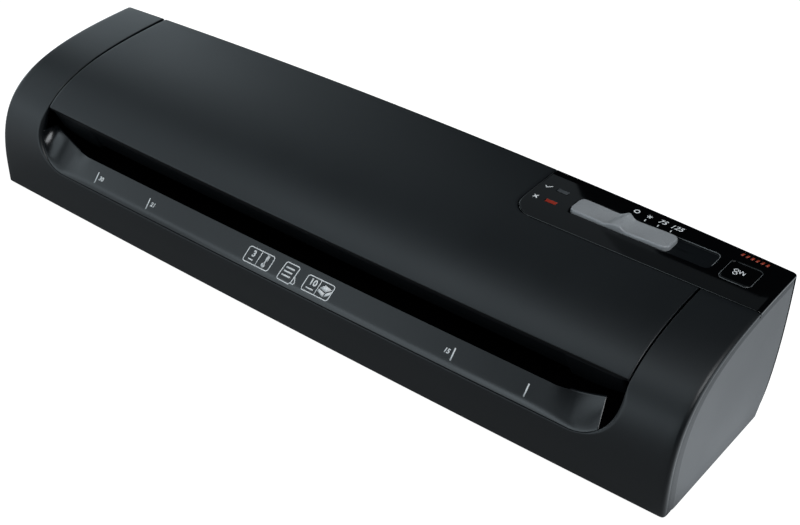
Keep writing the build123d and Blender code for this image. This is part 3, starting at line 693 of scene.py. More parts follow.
def apron_right():
    """Right half of the front, as a grid from the mouth's edge out to the toe and the rounded end."""
    x, z, nx, nz, radius = mouth_line()
    at, drop = edge_band(radius)
    phi = np.linspace(0, math.pi / 2, TURN_N + 1)[1:]
    low = FLOOR + CORNER
    centre = MOUTH_LOW + MOUTH_R
    half = int(np.searchsorted(phi, math.pi / 4))
    across = np.interp(phi, [0, phi[half]], [x[FLAT_N - 1], ROUND_X])
    climb = np.interp(phi, [phi[half], math.pi / 2], [low, centre])
    outer_x = np.concatenate([x[:FLAT_N], across, np.full(RISE_N, ROUND_X)])
    outer_z = np.concatenate([np.full(FLAT_N, low), climb, z[-RISE_N:]])
    gx = x[:, None] + nx[:, None] * at
    gz = z[:, None] + nz[:, None] * at
    gx = np.concatenate([gx, gx[:, -1:] * (1 - SPREAD) + outer_x[:, None] * SPREAD], 1)
    gz = np.concatenate([gz, gz[:, -1:] * (1 - SPREAD) + outer_z[:, None] * SPREAD], 1)
    depth = np.concatenate([drop, np.zeros((len(drop), len(SPREAD)))], 1)
    return gx, q_at_height(gz), depth, FLAT_N + half


# A cheek's columns follow a groove that widens with depth, so they settle in a few rounds
CHEEK_N = 26
CHEEK_GUESS = -20.0
SETTLE = 5
FAR = 9.0


def cheek_columns(y):
    """Stations across a cheek at depth y: the groove's rolled edge, then evenly out to the rounded end."""
    at, _ = edge_band(EDGE_R)
    inner = groove_edge(np.asarray(y, float), CHEEK_EDGE)[:, None] + at
    return np.concatenate([inner, inner[:, -1:] * (1 - SPREAD) + ROUND_X * SPREAD], 1)


def cheek_depth(rows):
    """Depth of a cheek's grid: its edge beside the groove."""
    _, drop = edge_band(EDGE_R)
    return np.repeat(np.concatenate([drop, np.zeros((1, len(SPREAD)))], 1), rows, 0)


def right_cheek():
    """From the mouth's top up to the control panel's front edge, rolled in at both edges."""
    y_end = PANEL_FRONT - SEAM
    start = float(q_at_height(MOUTH_TOP))
    v = np.linspace(0, 1, CHEEK_N)
    off = np.concatenate([np.full(CHEEK_N, FAR), EDGE_STEPS[:0:-1][1:], [0.0, -1.0]])
    x = cheek_columns(np.full(len(off), CHEEK_GUESS))
    for _ in range(SETTLE):
        near = q_at_depth(x[:CHEEK_N], np.full_like(x[:CHEEK_N], y_end - EDGE_R))
        rows = start + (near - start) * v[:, None]
        tail = q_at_depth(x[CHEEK_N:], y_end - np.maximum(off[CHEEK_N:, None], 0) + 0 * x[CHEEK_N:])
        q = np.concatenate([rows, tail])
        x = cheek_columns(skin(x[:, 0], q[:, 0])[:, 1])
    end = off.copy()
    end[CHEEK_N - 1] = EDGE_R
    depth = np.maximum(cheek_depth(len(off)), rolled(end)[:, None])
    return [sunk(x, q, depth), side_strip(q[:, -1], rolled(end))]


def left_cheek():
    """From the mouth's top over to the rear wall."""
    start = float(q_at_height(MOUTH_TOP))
    q = np.concatenate([np.linspace(start, 3, 32), past_top(7)])
    x = cheek_columns(np.full(len(q), CHEEK_GUESS))
    for _ in range(SETTLE):
        x = cheek_columns(skin(x[:, 0], q)[:, 1])
    return [mirrored(p) for p in (sunk(x, q[:, None], cheek_depth(len(q))), side_strip(q))]


def build_housing():
    """Front apron and both cheeks, turned in at the mouth, the grooves, the panel and the end caps."""
    gx, gq, depth, corner = apron_right()
    q_under = np.array([1.0, 0.75, 0.5, 0.25, 0.0, -0.5, -1.0])
    under = skin(gx[None, : corner + 1, -1], q_under[:, None])
    apron = [sunk(gx, gq, depth), under, side_strip(gq[corner:, -1]), side_strip(q_under)[:, :-1]]
    piece = put_mesh(
        "housing_skin",
        both_sides(apron) + right_cheek() + left_cheek(),
        "black_shell",
        replaces=["housing"],
        inside=BODY_AXIS,
    )
    return thicken(piece, SHEET)


# How far a groove's floor reaches under the cover and under the cheek
UNDER_COVER = 1.8
UNDER_CHEEK = 1.7


def build_groove_floors():
    """Recessed strips that the cover's side edges stand over, in near-black that paints the shade in the
    grooves.
    """
    across = np.linspace(COVER_EDGE[0] - UNDER_COVER, CHEEK_EDGE[1] + UNDER_CHEEK, 6)
    start = float(q_at_height(LIP + 3.0))
    end = q_at_depth(across, PANEL_FRONT + 1.0 + 0 * across)
    right = start + (end[None, :] - start) * np.linspace(0, 1, 32)[:, None]
    left = np.concatenate([np.linspace(start, 3, 32), past_top(5)])
    strips = [sunk(across[None, :], q, GROOVE_DEPTH) for q in (right, left[:, None])]
    patches = [strips[0], mirrored(strips[1])]
    return thicken(put_mesh("groove_floors", patches, "void_black", inside=BODY_AXIS), SHEET)


# ---------------------------------------------------------------- cover


def edge_distance(count):
    """Distance of each of count columns to the nearer side edge, when both sides start with EDGE_STEPS."""
    side = np.full(count, FAR)
    side[: len(EDGE_STEPS)] = EDGE_STEPS
    side[-len(EDGE_STEPS) :] = EDGE_STEPS[::-1]
    return side


# Where the cover's columns thin out beside the notch's rounded corner, and how far the
# even columns stay from its side edges and from the notch
COVER_DENSE = 62.0
COVER_SPARSE = 68.0
SIDE_GAP = 1.5
NOTCH_GAP = 2.5


def cover_columns():
    """Stations across the cover at the notch's front edge: up to the rounded corner, and past it."""
    notch_y = PANEL_FRONT - SEAM
    half = groove_edge(notch_y, COVER_EDGE)
    bend = PANEL_LEFT + PANEL_R
    left = np.concatenate([-half + EDGE_AT, np.linspace(-half + SIDE_GAP, COVER_DENSE, 46)])
    left = np.concatenate([left, np.linspace(COVER_SPARSE, bend - NOTCH_GAP, 8), bend - EDGE_AT[::-1]])
    right = np.concatenate([np.linspace(bend + NOTCH_GAP, half - SIDE_GAP, 18), half - EDGE_AT[::-1]])
    return left, right


def cover_front():
    """From the lip to the notch's front edge, the full width of the cover."""
    notch_y = PANEL_FRONT - SEAM
    left, right = cover_columns()
    columns = np.concatenate([left, right])
    q_lip = q_at_height(lip_height(columns))
    nearby = skin(columns, q_lip + 1e-3) - skin(columns, q_lip - 1e-3)
    speed = np.linalg.norm(nearby, axis=-1) / 2e-3
    near = q_at_depth(columns, notch_y - 1.2 + 0 * columns)
    rows = [q_lip + s / speed for s in EDGE_AT[1:]]
    rows += [q_lip + 1.0 / speed + (near - q_lip - 1.0 / speed) * g for g in np.linspace(0, 1, 36)]
    rows += [q_at_depth(columns, notch_y - s + 0 * columns) for s in EDGE_AT[::-1]]
    q = np.array(rows)
    wide = groove_edge(skin(LIP_HALF, q[:, -1])[:, 1], COVER_EDGE) / groove_edge(notch_y, COVER_EDGE)
    x = columns[None, :] * wide[:, None]
    to_lip = np.full(len(q), FAR)
    to_lip[: len(EDGE_AT) - 1] = EDGE_AT[1:]
    to_notch = np.full(len(q), FAR)
    to_notch[-len(EDGE_STEPS) :] = EDGE_STEPS[::-1]
    near_edge = np.minimum(to_lip[:, None], edge_distance(len(columns))[None, :])
    past = columns >= left[-1] - 1e-6
    past[: len(left)] = False
    near_edge = np.where(past[None, :], np.minimum(near_edge, to_notch[:, None]), near_edge)
    near_edge[:, len(left) - len(EDGE_AT) : len(left)] = to_lip[:, None]
    return sunk(x, q, rolled(near_edge)), x[0], q[0]


def cover_rear():
    """Left of the panel: round the notch's corner, back to the rear edge and down to the rear cover."""
    notch_y = PANEL_FRONT - SEAM
    r = PANEL_R + SEAM
    bend = PANEL_LEFT + PANEL_R
    left, _ = cover_columns()
    phi = np.linspace(0, math.pi / 2, 22)
    y = np.concatenate([notch_y + r - r * np.cos(phi), np.linspace(notch_y + r, 44, 8)[1:]])
    x_right = np.concatenate([bend - r * np.sin(phi), np.full(7, bend - r)])
    x_left = -groove_edge(y, COVER_EDGE)
    share = (left - left[0]) / (left[-1] - left[0])
    x = x_left[:, None] + (x_right - x_left)[:, None] * share[None, :]
    k = len(EDGE_AT)
    x[:, :k] = x_left[:, None] + EDGE_AT[None, :]
    x[:, -k:] = x_right[:, None] - EDGE_AT[None, ::-1]
    q = q_at_depth(x, y[:, None] + 0 * x)
    rest = carried_back(q, 5)
    q = np.concatenate([q, rest])
    x = np.concatenate([x, np.repeat(x[-1:], len(rest), 0)])
    return sunk(x, q, rolled(edge_distance(len(left)))[None, :])


def build_cover():
    """Centre cover with its edges rolled in, the notch for the control panel and an upright lip."""
    front, x, q = cover_front()
    edge = sunk(x, q, EDGE_R)
    inwards = ((0, 0), (0.1, 0.4), (0.3, LIP_FACE - 0.4), (0.7, LIP_FACE), (2.5, LIP_FACE))
    face = [edge + [0, back, -down] for back, down in inwards]
    patches = [front, cover_rear()]
    piece = put_mesh("cover_skin", patches, "black_shell", replaces=["top_cover"], inside=BODY_AXIS)
    # The upright lip face is a darker, duller copy of the shell's black: painted shade.
    lip = put_mesh("cover_lip", [np.array(face)], "lip_black", facing=(0, -1, 0))
    thicken(piece, SHEET)
    thicken(lip, 0.5)


# ---------------------------------------------------------------- tray and throat


# The throat steps down past the paper's width and climbs a little at its ends; upright walls,
# from WALL_START outwards, backwards and up, close it behind and at both ends
STEP_X = 165.0
STEP_RUN = 2.6
STEP_DOWN = 2.5
CLIMB_X = 184.0
CLIMB = 2.2
THROAT_END = 197.0
THROAT_LOW = 43.5
THROAT_BACK = -36.0
BACK_WALL = -35.2
END_WALL = 200.15
WALL_START = (166.0, -52.0, 36.0)
WALL_SHEET = 0.25

# The tray's slope: where its roll ends, the roll's knee, how it turns back and up past the widest
# pouch, the share of the roll left at the far end, and the shelf behind it
ROLL_END = 0.2
ROLL_JOIN = 0.16
KNEE = np.array([0.0, 0.9, 2.2])
TURN_X = 152.0
TURN_RUN = 48.3
TURN_POWER = 0.93
RISE_X = 165.0
RISE_FROM = 0.25
RISE_POWER = 1.4
TURN_BACK = 7.5
TURN_UP = 5.0
TURN_ROLL = 0.1
SHELF_ROWS = np.array([0, 0.3, 1.2, 6.0, 14.0, 26.0])
SHELF_DROP = 0.3
# Outline step from which the tray's right end is painted near-black shade
DARK_FROM = FLAT_N + 17
TRAY_TOP = 48.5
TRAY_SHEET = 1.2
TRAY_GAP = 0.03
TRAY_FACING = (0, -0.6, 0.8)


def ramp(front, back, roll, t):
    """The tray's slope from front to back: a short convex roll, then straight.

    Up to t = ROLL_END a quadratic Bezier leaves front steeply; from there a line runs to back.
    """
    knee = front + roll
    join = knee + ROLL_JOIN * (back - knee)
    s = np.clip(t / ROLL_END, 0, 1)[..., None]
    w = np.clip((t - ROLL_END) / (1 - ROLL_END), 0, 1)[..., None]
    bend = (1 - s) ** 2 * front + 2 * s * (1 - s) * knee + s * s * join
    return bend + (back - join) * w


def tray_front(x, z, nx, nz, radius):
    """Where the tray meets the mouth's edge: just inside the outline, at the bottom of its fillet."""
    return sunk(x - TRAY_GAP * nx, q_at_height(z - TRAY_GAP * nz), radius + TRAY_GAP)


def tray_point(x, t):
    """Point on the slope's straight middle at station x, with t from 0 at the front to 1 at the back."""
    x, t = np.broadcast_arrays(np.asarray(x, float), np.asarray(t, float))
    front = tray_front(x, MOUTH_LOW + 0 * x, 0 * x, -1 + 0 * x, EDGE_R)
    back = np.stack([x, RAMP_BACK - bow(x), SHELF + 0 * x], -1)
    return ramp(front, back, KNEE, t)


def build_tray():
    """Dished slope that turns up at its ends, and the flat shelf behind it."""
    x, z, nx, nz, radius = mouth_line()
    last = int(np.searchsorted(z[FLAT_N:] > TRAY_TOP, True)) + FLAT_N
    x, z, nx, nz, radius = (v[:last] for v in (x, z, nx, nz, radius))
    front = tray_front(x, z, nx, nz, radius)
    length = np.concatenate([[0], np.cumsum(np.hypot(np.diff(x), np.diff(z)))])
    begin = np.interp(TURN_X, x[:FLAT_N], length[:FLAT_N])
    turn = np.clip((length - begin) / (length[-1] - begin), 0, 1)
    back_x = np.where(turn > 0, TURN_X + TURN_RUN * turn**TURN_POWER, x)
    out = np.clip((back_x - RISE_X) / (TURN_X + TURN_RUN - RISE_X), 0, 1)
    back_y = RAMP_BACK - bow(back_x) + TURN_BACK * out
    back_z = SHELF + TURN_UP * np.clip((out - RISE_FROM) / (1 - RISE_FROM), 0, 1) ** RISE_POWER
    back = np.stack([back_x, back_y, back_z], -1)
    roll = np.stack([-KNEE[2] * nx, KNEE[1] + 0 * nx, -KNEE[2] * nz], -1)
    roll *= (1 - (1 - TURN_ROLL) * turn)[:, None]
    t = np.concatenate([np.linspace(0, ROLL_END, 8), np.linspace(ROLL_END, 1, 14)[1:]])
    slope = ramp(front[:, None], back[:, None], roll[:, None], np.repeat(t[None, :], last, 0))
    shelf = back[:, None] + SHELF_ROWS[None, :, None] * np.array([0, 1.0, 0])
    limit = np.where(back_x > STEP_X + 3.0, BACK_WALL + 0.6, TRAY[1][1] - 1.0)
    shelf[..., 1] = np.minimum(shelf[..., 1], limit[:, None])
    shelf[:, 1:, 2] -= SHELF_DROP
    lit = [slope[: DARK_FROM + 1], mirrored(slope)]
    dish = put_mesh("tray_dish", lit, "tray_black", replaces=["feed_tray"], facing=TRAY_FACING, crease=30)
    # From DARK_FROM on, the tray's upturned right end is near-black, and so is the shelf: painted shade; the
    # left end stays in the tray's black.
    turned = put_mesh("tray_turn", [slope[DARK_FROM:]], "void_black", facing=TRAY_FACING, crease=30)
    rest = put_mesh("tray_shelf", both_sides([shelf]), "void_black", facing=(0, -0.1, 0.8), crease=30)
    thicken(dish, TRAY_SHEET)
    thicken(turned, TRAY_SHEET)
    thicken(rest, SHEET)


def build_throat():
    """Slope behind the lip, in a darker copy of the tray's black that paints its shade: down to the paper
    path, then a shelf that steps down at its ends.
    """
    near = STEP_X - 3.0
    far = STEP_X + 3.0
    x = [np.linspace(0, near, 40), np.linspace(near, far, 13), np.linspace(far, THROAT_END, 14)]
    x = np.unique(np.concatenate(x))
    lip = skin(x, q_at_height(lip_height(x)))
    low = THROAT_LOW - STEP_DOWN * smooth((x - STEP_X + 1.5) / STEP_RUN)
    low += CLIMB * np.clip((x - CLIMB_X) / (THROAT_END - CLIMB_X), 0, 1) ** 2
    y = THROAT_BACK - bow(x)
    top_y = lip[:, 1] + 0.8
    top_z = lip[:, 2] - LIP_FACE + 0.3
    rows = []
    for t in np.linspace(0, 1, 8):
        rows.append(np.stack([x, top_y + (y - top_y) * t, top_z + (low + 0.5 - top_z) * t], -1))
    for dy, dz in ((0.25, 0.15), (0.6, 0.0), (3.0, 0.0), (17.0, 1.0)):
        rows.append(np.stack([x, y + dy, low + dz], -1))
    slopes = both_sides([np.array(rows)])
    facing = (0, -0.9, -0.4)
    throat = put_mesh("throat", slopes, "guide_black", replaces=["upper_guide"], facing=facing, crease=35)
    thicken(throat, SHEET)


def build_mouth_walls():
    """Upright walls behind the mouth's ends and beside them, clear of the skin, in near-black that paints the
    shade inside the body.
    """
    x, y, z = WALL_START
    top = np.minimum(np.linspace(z, z + 25.0, 8)[:, None], lip_height(LIP_HALF) - 1.5)
    side = np.stack(np.broadcast_arrays(END_WALL, np.linspace(y, y + 17.0, 8)[None, :], top), -1)
    clear = skin(LIP_HALF, q_at_height(side[..., 2]))[..., 1] + 3.0
    side[..., 1] = np.maximum(side[..., 1], clear)
    back = np.stack(np.broadcast_arrays(np.linspace(x, END_WALL, 6)[None, :], BACK_WALL, top), -1)
    walls = (
        ("mouth_ends", [side], (-1, 0, 0)),
        ("mouth_end_left", [mirrored(side)], (1, 0, 0)),
        ("mouth_backs", both_sides([back]), (0, -1, 0)),
    )
    for name, patches, facing in walls:
        thicken(put_mesh(name, patches, "void_black", facing=facing), WALL_SHEET)


# ---------------------------------------------------------------- end caps


# The cap's face: how far it is crowned, and the point that its rings close on
CROWN = 0.12
CAP_MIDDLE = np.array([0.0, 2.0, 36.0])


def build_end_caps():
    """End panels: a shallow bevel inside the rounded ring, and a face crowned by a parabola."""
    q = np.concatenate([np.linspace(0, 1, 9), np.linspace(1, 2, 6)[1:], np.linspace(2, 3, 60)[1:]])
    q = np.concatenate([q, np.linspace(3, 4, 9)[1:], np.linspace(4, 5, 40)[1:], np.linspace(5, 6, 12)[1:]])
    rim = np.array(RIM_IN)
    face = np.array(FACE_IN)
    sides = np.array([1, 1, 1, 0])
    rings = [(HALF - 4.0, rim)]
    rings += [(RIM_X - back, rim + inset * sides) for back, inset in ((0.35, 0.0), (0.1, 0.07), (0.0, 0.3))]
    flat = HALF - CROWN
    for t in (0.5, 0.88, 0.97, 1.0, 1.03):
        rings.append((min(RIM_X + (flat - RIM_X) * t, flat), rim + (face - rim) * t))
    rows = [skin(x, q, *d) for x, d in rings]
    edge = rows[-1]
    for w in (0.06, 0.2, 0.4, 0.6, 0.8, 1.0):
        row = edge * (1 - w) + CAP_MIDDLE * w
        row[:, 0] = flat + CROWN * (1 - (1 - w) ** 2)
        rows.append(row)
    cap = np.array(rows)
    put_mesh("cap_right", [cap], "end_black", replaces=["right_end_cap"], facing=(1, 0, 0))
    put_mesh("cap_left", [mirrored(cap)], "end_black", replaces=["left_end_cap"], facing=(-1, 0, 0))


# ---------------------------------------------------------------- rounded outlines


def outline_at(points, centre, half, radius):
    """Moves plan points onto a rounded rectangle: straight across its sides, radially at its corners."""
    centre = np.array(centre, float)
    core = np.array(half, float) - radius
    offset = points - centre
    near = np.clip(offset, -core, core)
    away = offset - near
    length = np.maximum(np.linalg.norm(away, axis=-1, keepdims=True), 1e-9)
    return centre + near + radius * away / length


def perimeter(grid):
    """The outer vertices of a grid in order, first one repeated at the end."""
    rows = [grid[0, :-1], grid[:-1, -1], grid[-1, :0:-1], grid[::-1, 0]]
    return np.concatenate(rows)


# ---------------------------------------------------------------- control panel

# Columns left of LEAN_TO lean to follow the panel's rounded corner, and a grid line within NEAR
# of the frame round an opening counts as part of it
LEAN_TO = 114.0
NEAR = 0.01

# Openings: middle, size (x, y, corner radius), margin of the grid around it in x and y, depth
BUTTON_HOLE = np.array(BUTTON_SIZE) + BUTTON_GAP * np.array([2, 2, 1])
HOLES = (
    (TRACK_AT, TRACK_SIZE, 1.0, 1.0, TRACK_DEPTH),
    (BUTTON_AT, BUTTON_HOLE, 0.95, 1.0, BUTTON_WELL),
    ((READY[0] + READY[1])[:2] / 2, LENS_HOLE, 0.55, 0.6, 0.6),
    ((POWER[0] + POWER[1])[:2] / 2, LENS_HOLE, 0.55, 0.6, 0.6),
)


def hole_lines(axis):
    """Grid lines that frame every hole along one axis, closer at its corners."""
    lines = []
    for centre, size, *margins, _ in HOLES:
        margin = margins[axis]
        reach = size[axis] / 2 + margin
        corner = np.array([0.0, 0.35, 0.75, 1.0]) * (size[2] + margin)
        for side in (-1, 1):
            lines.append(centre[axis] + side * (reach - corner))
    return np.concatenate(lines)


def panel_grid():
    """Plan positions of the panel's grid and its profile parameters, front to rear."""
    left_edge = PANEL_LEFT + np.concatenate([EDGE_AT, [0.9, 1.8, 3.2, 5.0, 7.5]])
    front_edge = PANEL_FRONT + np.concatenate([EDGE_AT, [0.7, 1.1, 1.7, 2.5, 3.6, 5.0, 6.8, 8.8, 10.6]])
    between = [204.0, 208.0, 212.0, 216.0, 223.0, 226.5, ROUND_X]
    x = np.concatenate([left_edge, hole_lines(0), np.linspace(118, 196, 27), between])
    x = np.unique(np.round(x, 3))
    y = np.concatenate([front_edge, hole_lines(1), [33.0, 36.3, 39.0]])
    y = np.unique(np.round(y, 3))
    gx = np.repeat(x[None, :], len(y), 0)
    gy = np.repeat(y[:, None], len(x), 1)
    inset = PANEL_FRONT + PANEL_R - gy
    left = PANEL_LEFT + PANEL_R - np.sqrt(np.maximum(PANEL_R**2 - np.maximum(inset, 0) ** 2, 0))
    share = np.clip((LEAN_TO - gx) / (LEAN_TO - PANEL_LEFT), 0, 1)
    gx = gx + (left - PANEL_LEFT) * share
    return x, y, gx, gy


def panel_depth(gx, gy):
    """Depth of the roll along the panel's left and front edges and round the corner between them."""
    corner = np.array([PANEL_LEFT + PANEL_R, PANEL_FRONT + PANEL_R])
    dx = gx - PANEL_LEFT
    dy = gy - PANEL_FRONT
    rounded = PANEL_R - np.hypot(gx - corner[0], gy - corner[1])
    inside = (gx < corner[0]) & (gy < corner[1])
    distance = np.where(inside, rounded, np.minimum(dx, dy))
    return rolled(np.maximum(distance, 0))


def opening(edge, centre, size, deep):
    """An opening's rolled rim, down from the grid line around it, and the walls and floor of its well."""
    centre = np.array(centre)
    half = np.array(size[:2]) / 2
    roll = 0.3 if deep > 1 else 0.12
    steps = [(roll, 0.0), (0.7 * roll, 0.05 * roll), (0.3 * roll, 0.3 * roll), (0.0, roll), (0.0, deep - 0.2)]
    steps += [(-0.2, deep)]
    rings = [edge]
    for out, down in steps:
        flat = outline_at(edge[:, :2], centre, half + out, size[2] + out)
        rings.append(on_top(flat[:, 0], flat[:, 1], -down))
    foot = rings[-1][:, :2]
    for share in (0.7, 0.35, 0.02):
        flat = centre + (foot - centre) * [1 - (1 - share) * 0.35, share]
        rings.append(on_top(flat[:, 0], flat[:, 1], -deep))
    return np.array(rings[:5]), np.array(rings[4:])


def panel_rear(gx, q):
    """The panel past its flat grid, over the top and down the back: points, profile and depth of roll."""
    rear_q = np.concatenate([q[-1:], carried_back(q, 3)])
    rear_x = np.repeat(gx[-1:], len(rear_q), 0)
    depth = rolled(np.maximum(rear_x - PANEL_LEFT, 0))
    return sunk(rear_x, rear_q, depth), rear_q, depth


def build_panel():
    """Gloss plate: the body's own curve, a rounded front left corner, and openings with rolled edges."""
    x, y, gx, gy = panel_grid()
    q = q_at_depth(gx, gy)
    depth = panel_depth(gx, gy)
    top = sunk(gx, q, depth)
    keep = np.ones((len(y) - 1, len(x) - 1), bool)
    rims = []
    floors = []
    for centre, size, margin_x, margin_y, deep in HOLES:
        reach = np.array(size[:2]) / 2 + [margin_x, margin_y]
        low = np.array(centre) - reach - NEAR
        high = np.array(centre) + reach + NEAR
        i = np.flatnonzero((y > low[1]) & (y < high[1]))
        j = np.flatnonzero((x > low[0]) & (x < high[0]))
        keep[i[0] : i[-1], j[0] : j[-1]] = False
        edge = perimeter(top[i[0] : i[-1] + 1, j[0] : j[-1] + 1])
        rim, floor = opening(edge, centre, size, deep)
        rims.append(rim)
        floors.append(floor)
    rear, rear_q, rear_depth = panel_rear(gx, q)
    strip_q = np.concatenate([q[:, -1], rear_q[1:, -1]])
    strip_depth = np.concatenate([depth[:, -1], rear_depth[1:, -1]])
    strip = side_strip(strip_q, strip_depth)
    outline = np.concatenate([rear[::-1, 0], top[::-1, 0], top[0, 1:], strip[0, 1:]])
    wall = np.array([outline - [0, 0, EDGE_WALL * share] for share in (0, 1 / 3, 1)])
    patches = [(top, keep), *rims, rear, strip, wall]
    put_mesh("panel_skin", patches, "panel_gloss", replaces=["control_panel"], inside=TOP_AXIS)
    # The openings' floors take the throat's darker black: painted shade in the recesses.
    put_mesh("panel_wells", floors, "guide_black", facing=(0, 0, 1))


# ---------------------------------------------------------------- knob and button


def pillow(centre, size, height, radius, inset, profile, cells):
    """A raised rounded rectangle: its top as a grid, and rings down a profile of (inset, drop)."""
    half = np.array(size[:2]) / 2 - inset
    r = radius - inset
    a = np.linspace(-1, 1, cells[0] + 1)
    b = np.linspace(-1, 1, cells[1] + 1)
    u = np.sin(a * math.pi / 2) * 0.35 + a * 0.65
    x = u * half[0]
    past = np.maximum(np.abs(x) - (half[0] - r), 0)
    reach = half[1] - r + np.sqrt(np.maximum(r * r - past**2, 0))
    gx = np.repeat(x[None, :], len(b), 0)
    gy = b[:, None] * reach[None, :]
    top = np.stack([centre[0] + gx, centre[1] + gy, height(gx, gy)], -1)
    edge = perimeter(top)
    rings = [edge]
    for draw, down in profile:
        flat = outline_at(edge[:, :2], centre, np.array(size[:2]) / 2 - draw, radius - draw)
        rings.append(np.stack([flat[:, 0], flat[:, 1], edge[:, 2] - down], -1))
    rings[-1][:, 2] = rings[-1][:, 2].min()
    return top, np.array(rings)


def knob_height(a, b):
    """Dished pads with a saddle ridge across the middle.

    The ridge has a flat crest that widens and sinks towards the front, a straight left flank and a
    hollow right one; its right edge curves inwards halfway.
    """
    front = np.clip((KNOB_REACH - b) / (2 * KNOB_REACH), 0, 1)
    left_crest = -0.7 - 2.4 * front**1.5
    right_crest = 0.9 - 5.12 * front * (1 - front) + 0.8 * front**2
    fall_left = np.clip((left_crest - a) / 5.0, 0, 1)
    fall_right = np.clip((a - right_crest) / 4.5, 0, 1)
    rise = (1 - fall_left) ** 1.15 * (1 - fall_right) ** 2.4
    peak = 2.38 - 1.3 * front**1.5
    dish = KNOB_DISH * (1 - (np.abs(b) / KNOB_REACH) ** 3) * smooth((21.0 - np.abs(a)) / 15.0)
    return KNOB[1][2] - KNOB_RIDGE + peak * rise - dish * (1 - rise)


def build_knob():
    """The slider's knob, with a bright rolled rim and slightly drafted sides."""
    centre = (KNOB[0] + KNOB[1])[:2] / 2
    size = (KNOB[1] - KNOB[0])[:2]
    profile = [(0.75, 0.05), (0.5, 0.2), (0.32, 0.45), (0.2, 0.8), (0.0, 2.3)]
    top, sides = pillow(centre, size, knob_height, 3.5, 1.0, profile, (96, 24))
    sides[-1][:, 2] = KNOB_FOOT
    put_mesh("knob", [top, sides], "knob_grey", "slider", replaces=["slider_knob"], crease=35)


def build_button():
    """Square button whose top follows the panel's curve."""

    def height(a, b):
        return on_top(BUTTON_AT[0] + a, BUTTON_AT[1] + b, -0.02)[..., 2]

    profile = [(0.25, 0.03), (0.12, 0.1), (0.04, 0.22), (0.0, 0.4), (0.0, 2.6)]
    top, sides = pillow(BUTTON_AT, BUTTON_SIZE, height, BUTTON_SIZE[2], 0.4, profile, (16, 16))
    put_mesh("button_cap", [top, sides], "panel_gloss", "button", replaces=["release_button"])


# ---------------------------------------------------------------- printed marks, and painted highlights on two rims


def ribbon(points, width, closed=False):
    """A flat line of even width along plan points, as a 2-row strip."""
    points = np.array(points, float)
    if closed:
        ring = np.concatenate([points[-1:], points, points[:1]])
        along = ring[2:] - ring[:-2]
    else:
        along = np.gradient(points, axis=0)
    side = np.stack([-along[:, 1], along[:, 0]], -1)
    side *= width / 2 / np.maximum(np.linalg.norm(side, axis=-1, keepdims=True), 1e-9)
    strip = np.stack([points + side, points - side])
    if closed:
        strip = np.concatenate([strip, strip[:, :1]], 1)
    return strip.reshape(-1, 2), grid_faces(2, strip.shape[1]).tolist()


def frame_line(centre, size, width, shear=0.0):
    """A rounded rectangle drawn as a line, sheared sideways."""
    loop = loop_of(size, straight=(4, 4), arc=6)[:-1]
    keep = np.linalg.norm(loop - np.roll(loop, 1, 0), axis=-1) > 1e-4
    loop = loop[keep]
    loop[:, 0] += shear * loop[:, 1]
    return ribbon(loop + np.array(centre), width, closed=True)


def circle(centre, radius, count):
    """Points evenly round a circle."""
    a = np.linspace(0, 2 * math.pi, count, endpoint=False)
    return np.stack([centre[0] + radius * np.cos(a), centre[1] + radius * np.sin(a)], -1)


def disc(centre, radius, count=20):
    """A filled circle."""
    return circle(centre, radius, count), [list(range(count))]


def ring(centre, radius, width, count=24):
    """A circle drawn as a line."""
    return ribbon(circle(centre, radius, count), width, closed=True)


def figures(text, centre, height, shear=0.0, heavy=0.0):
    """Plain figures from the built-in font, turned into a flat mesh."""
    curve = bpy.data.curves.new("figures", "FONT")
    curve.body = text
    curve.size = height / 0.7
    curve.shear = shear
    curve.offset = heavy
    curve.align_x = "CENTER"
    curve.resolution_u = 3
    curve.fill_mode = "FRONT"
    holder = bpy.data.objects.new("figures", curve)
    bpy.context.scene.collection.objects.link(holder)
    mesh = holder.evaluated_get(bpy.context.evaluated_depsgraph_get()).to_mesh()
    flat = np.zeros(len(mesh.vertices) * 3)
    mesh.vertices.foreach_get("co", flat)
    faces = [list(p.vertices) for p in mesh.polygons]
    bpy.data.objects.remove(holder)
    bpy.data.curves.remove(curve)
    flat = flat.reshape(-1, 3)[:, :2]
    flat[:, 1] -= height / 2
    return flat + np.array(centre), faces


def put_marks(name, flats, place, finish_name, body="body"):
    """Lays flat shapes on a surface through place(u, v), which returns points just above it."""
    points = []
    faces = []
    count = 0
    for flat, quads in flats:
        points.append(flat)
        faces += [[i + count for i in f] for f in quads]
        count += len(flat)
    flat = np.concatenate(points)
    mesh = bpy.data.meshes.new(name)
    mesh.from_pydata((place(flat[:, 0], flat[:, 1]) * MM).tolist(), [], faces)
    work = bmesh.new()
    work.from_mesh(mesh)
    work.normal_update()
    down = [f for f in work.faces if f.normal.z < 0]
    bmesh.ops.reverse_faces(work, faces=down)
    bmesh.ops.triangulate(work, faces=[f for f in work.faces if len(f.verts) > 4])
    work.to_mesh(mesh)
    work.free()
    return thicken(finish_mesh(name, mesh, finish_name, body), 0.02)


def on_slope(u, v, lift=0.05):
    """Point just above the tray's straight slope at station u, v millimetres below its back edge."""
    front = tray_point(u, 0.2)
    back = tray_point(u, 1.0)
    run = back - front
    length = np.linalg.norm(run, axis=-1)
    along = run / length[:, None]
    point = back - along * v[:, None]
    normal = np.stack([0 * u, -along[:, 2], along[:, 1]], -1)
    return point + normal * lift


def on_panel(u, v):
    """Point just above the control panel."""
    return on_top(u, v, 0.04)


def on_button(u, v):
    """Point just above the button."""
    return on_top(u, v, 0.03)


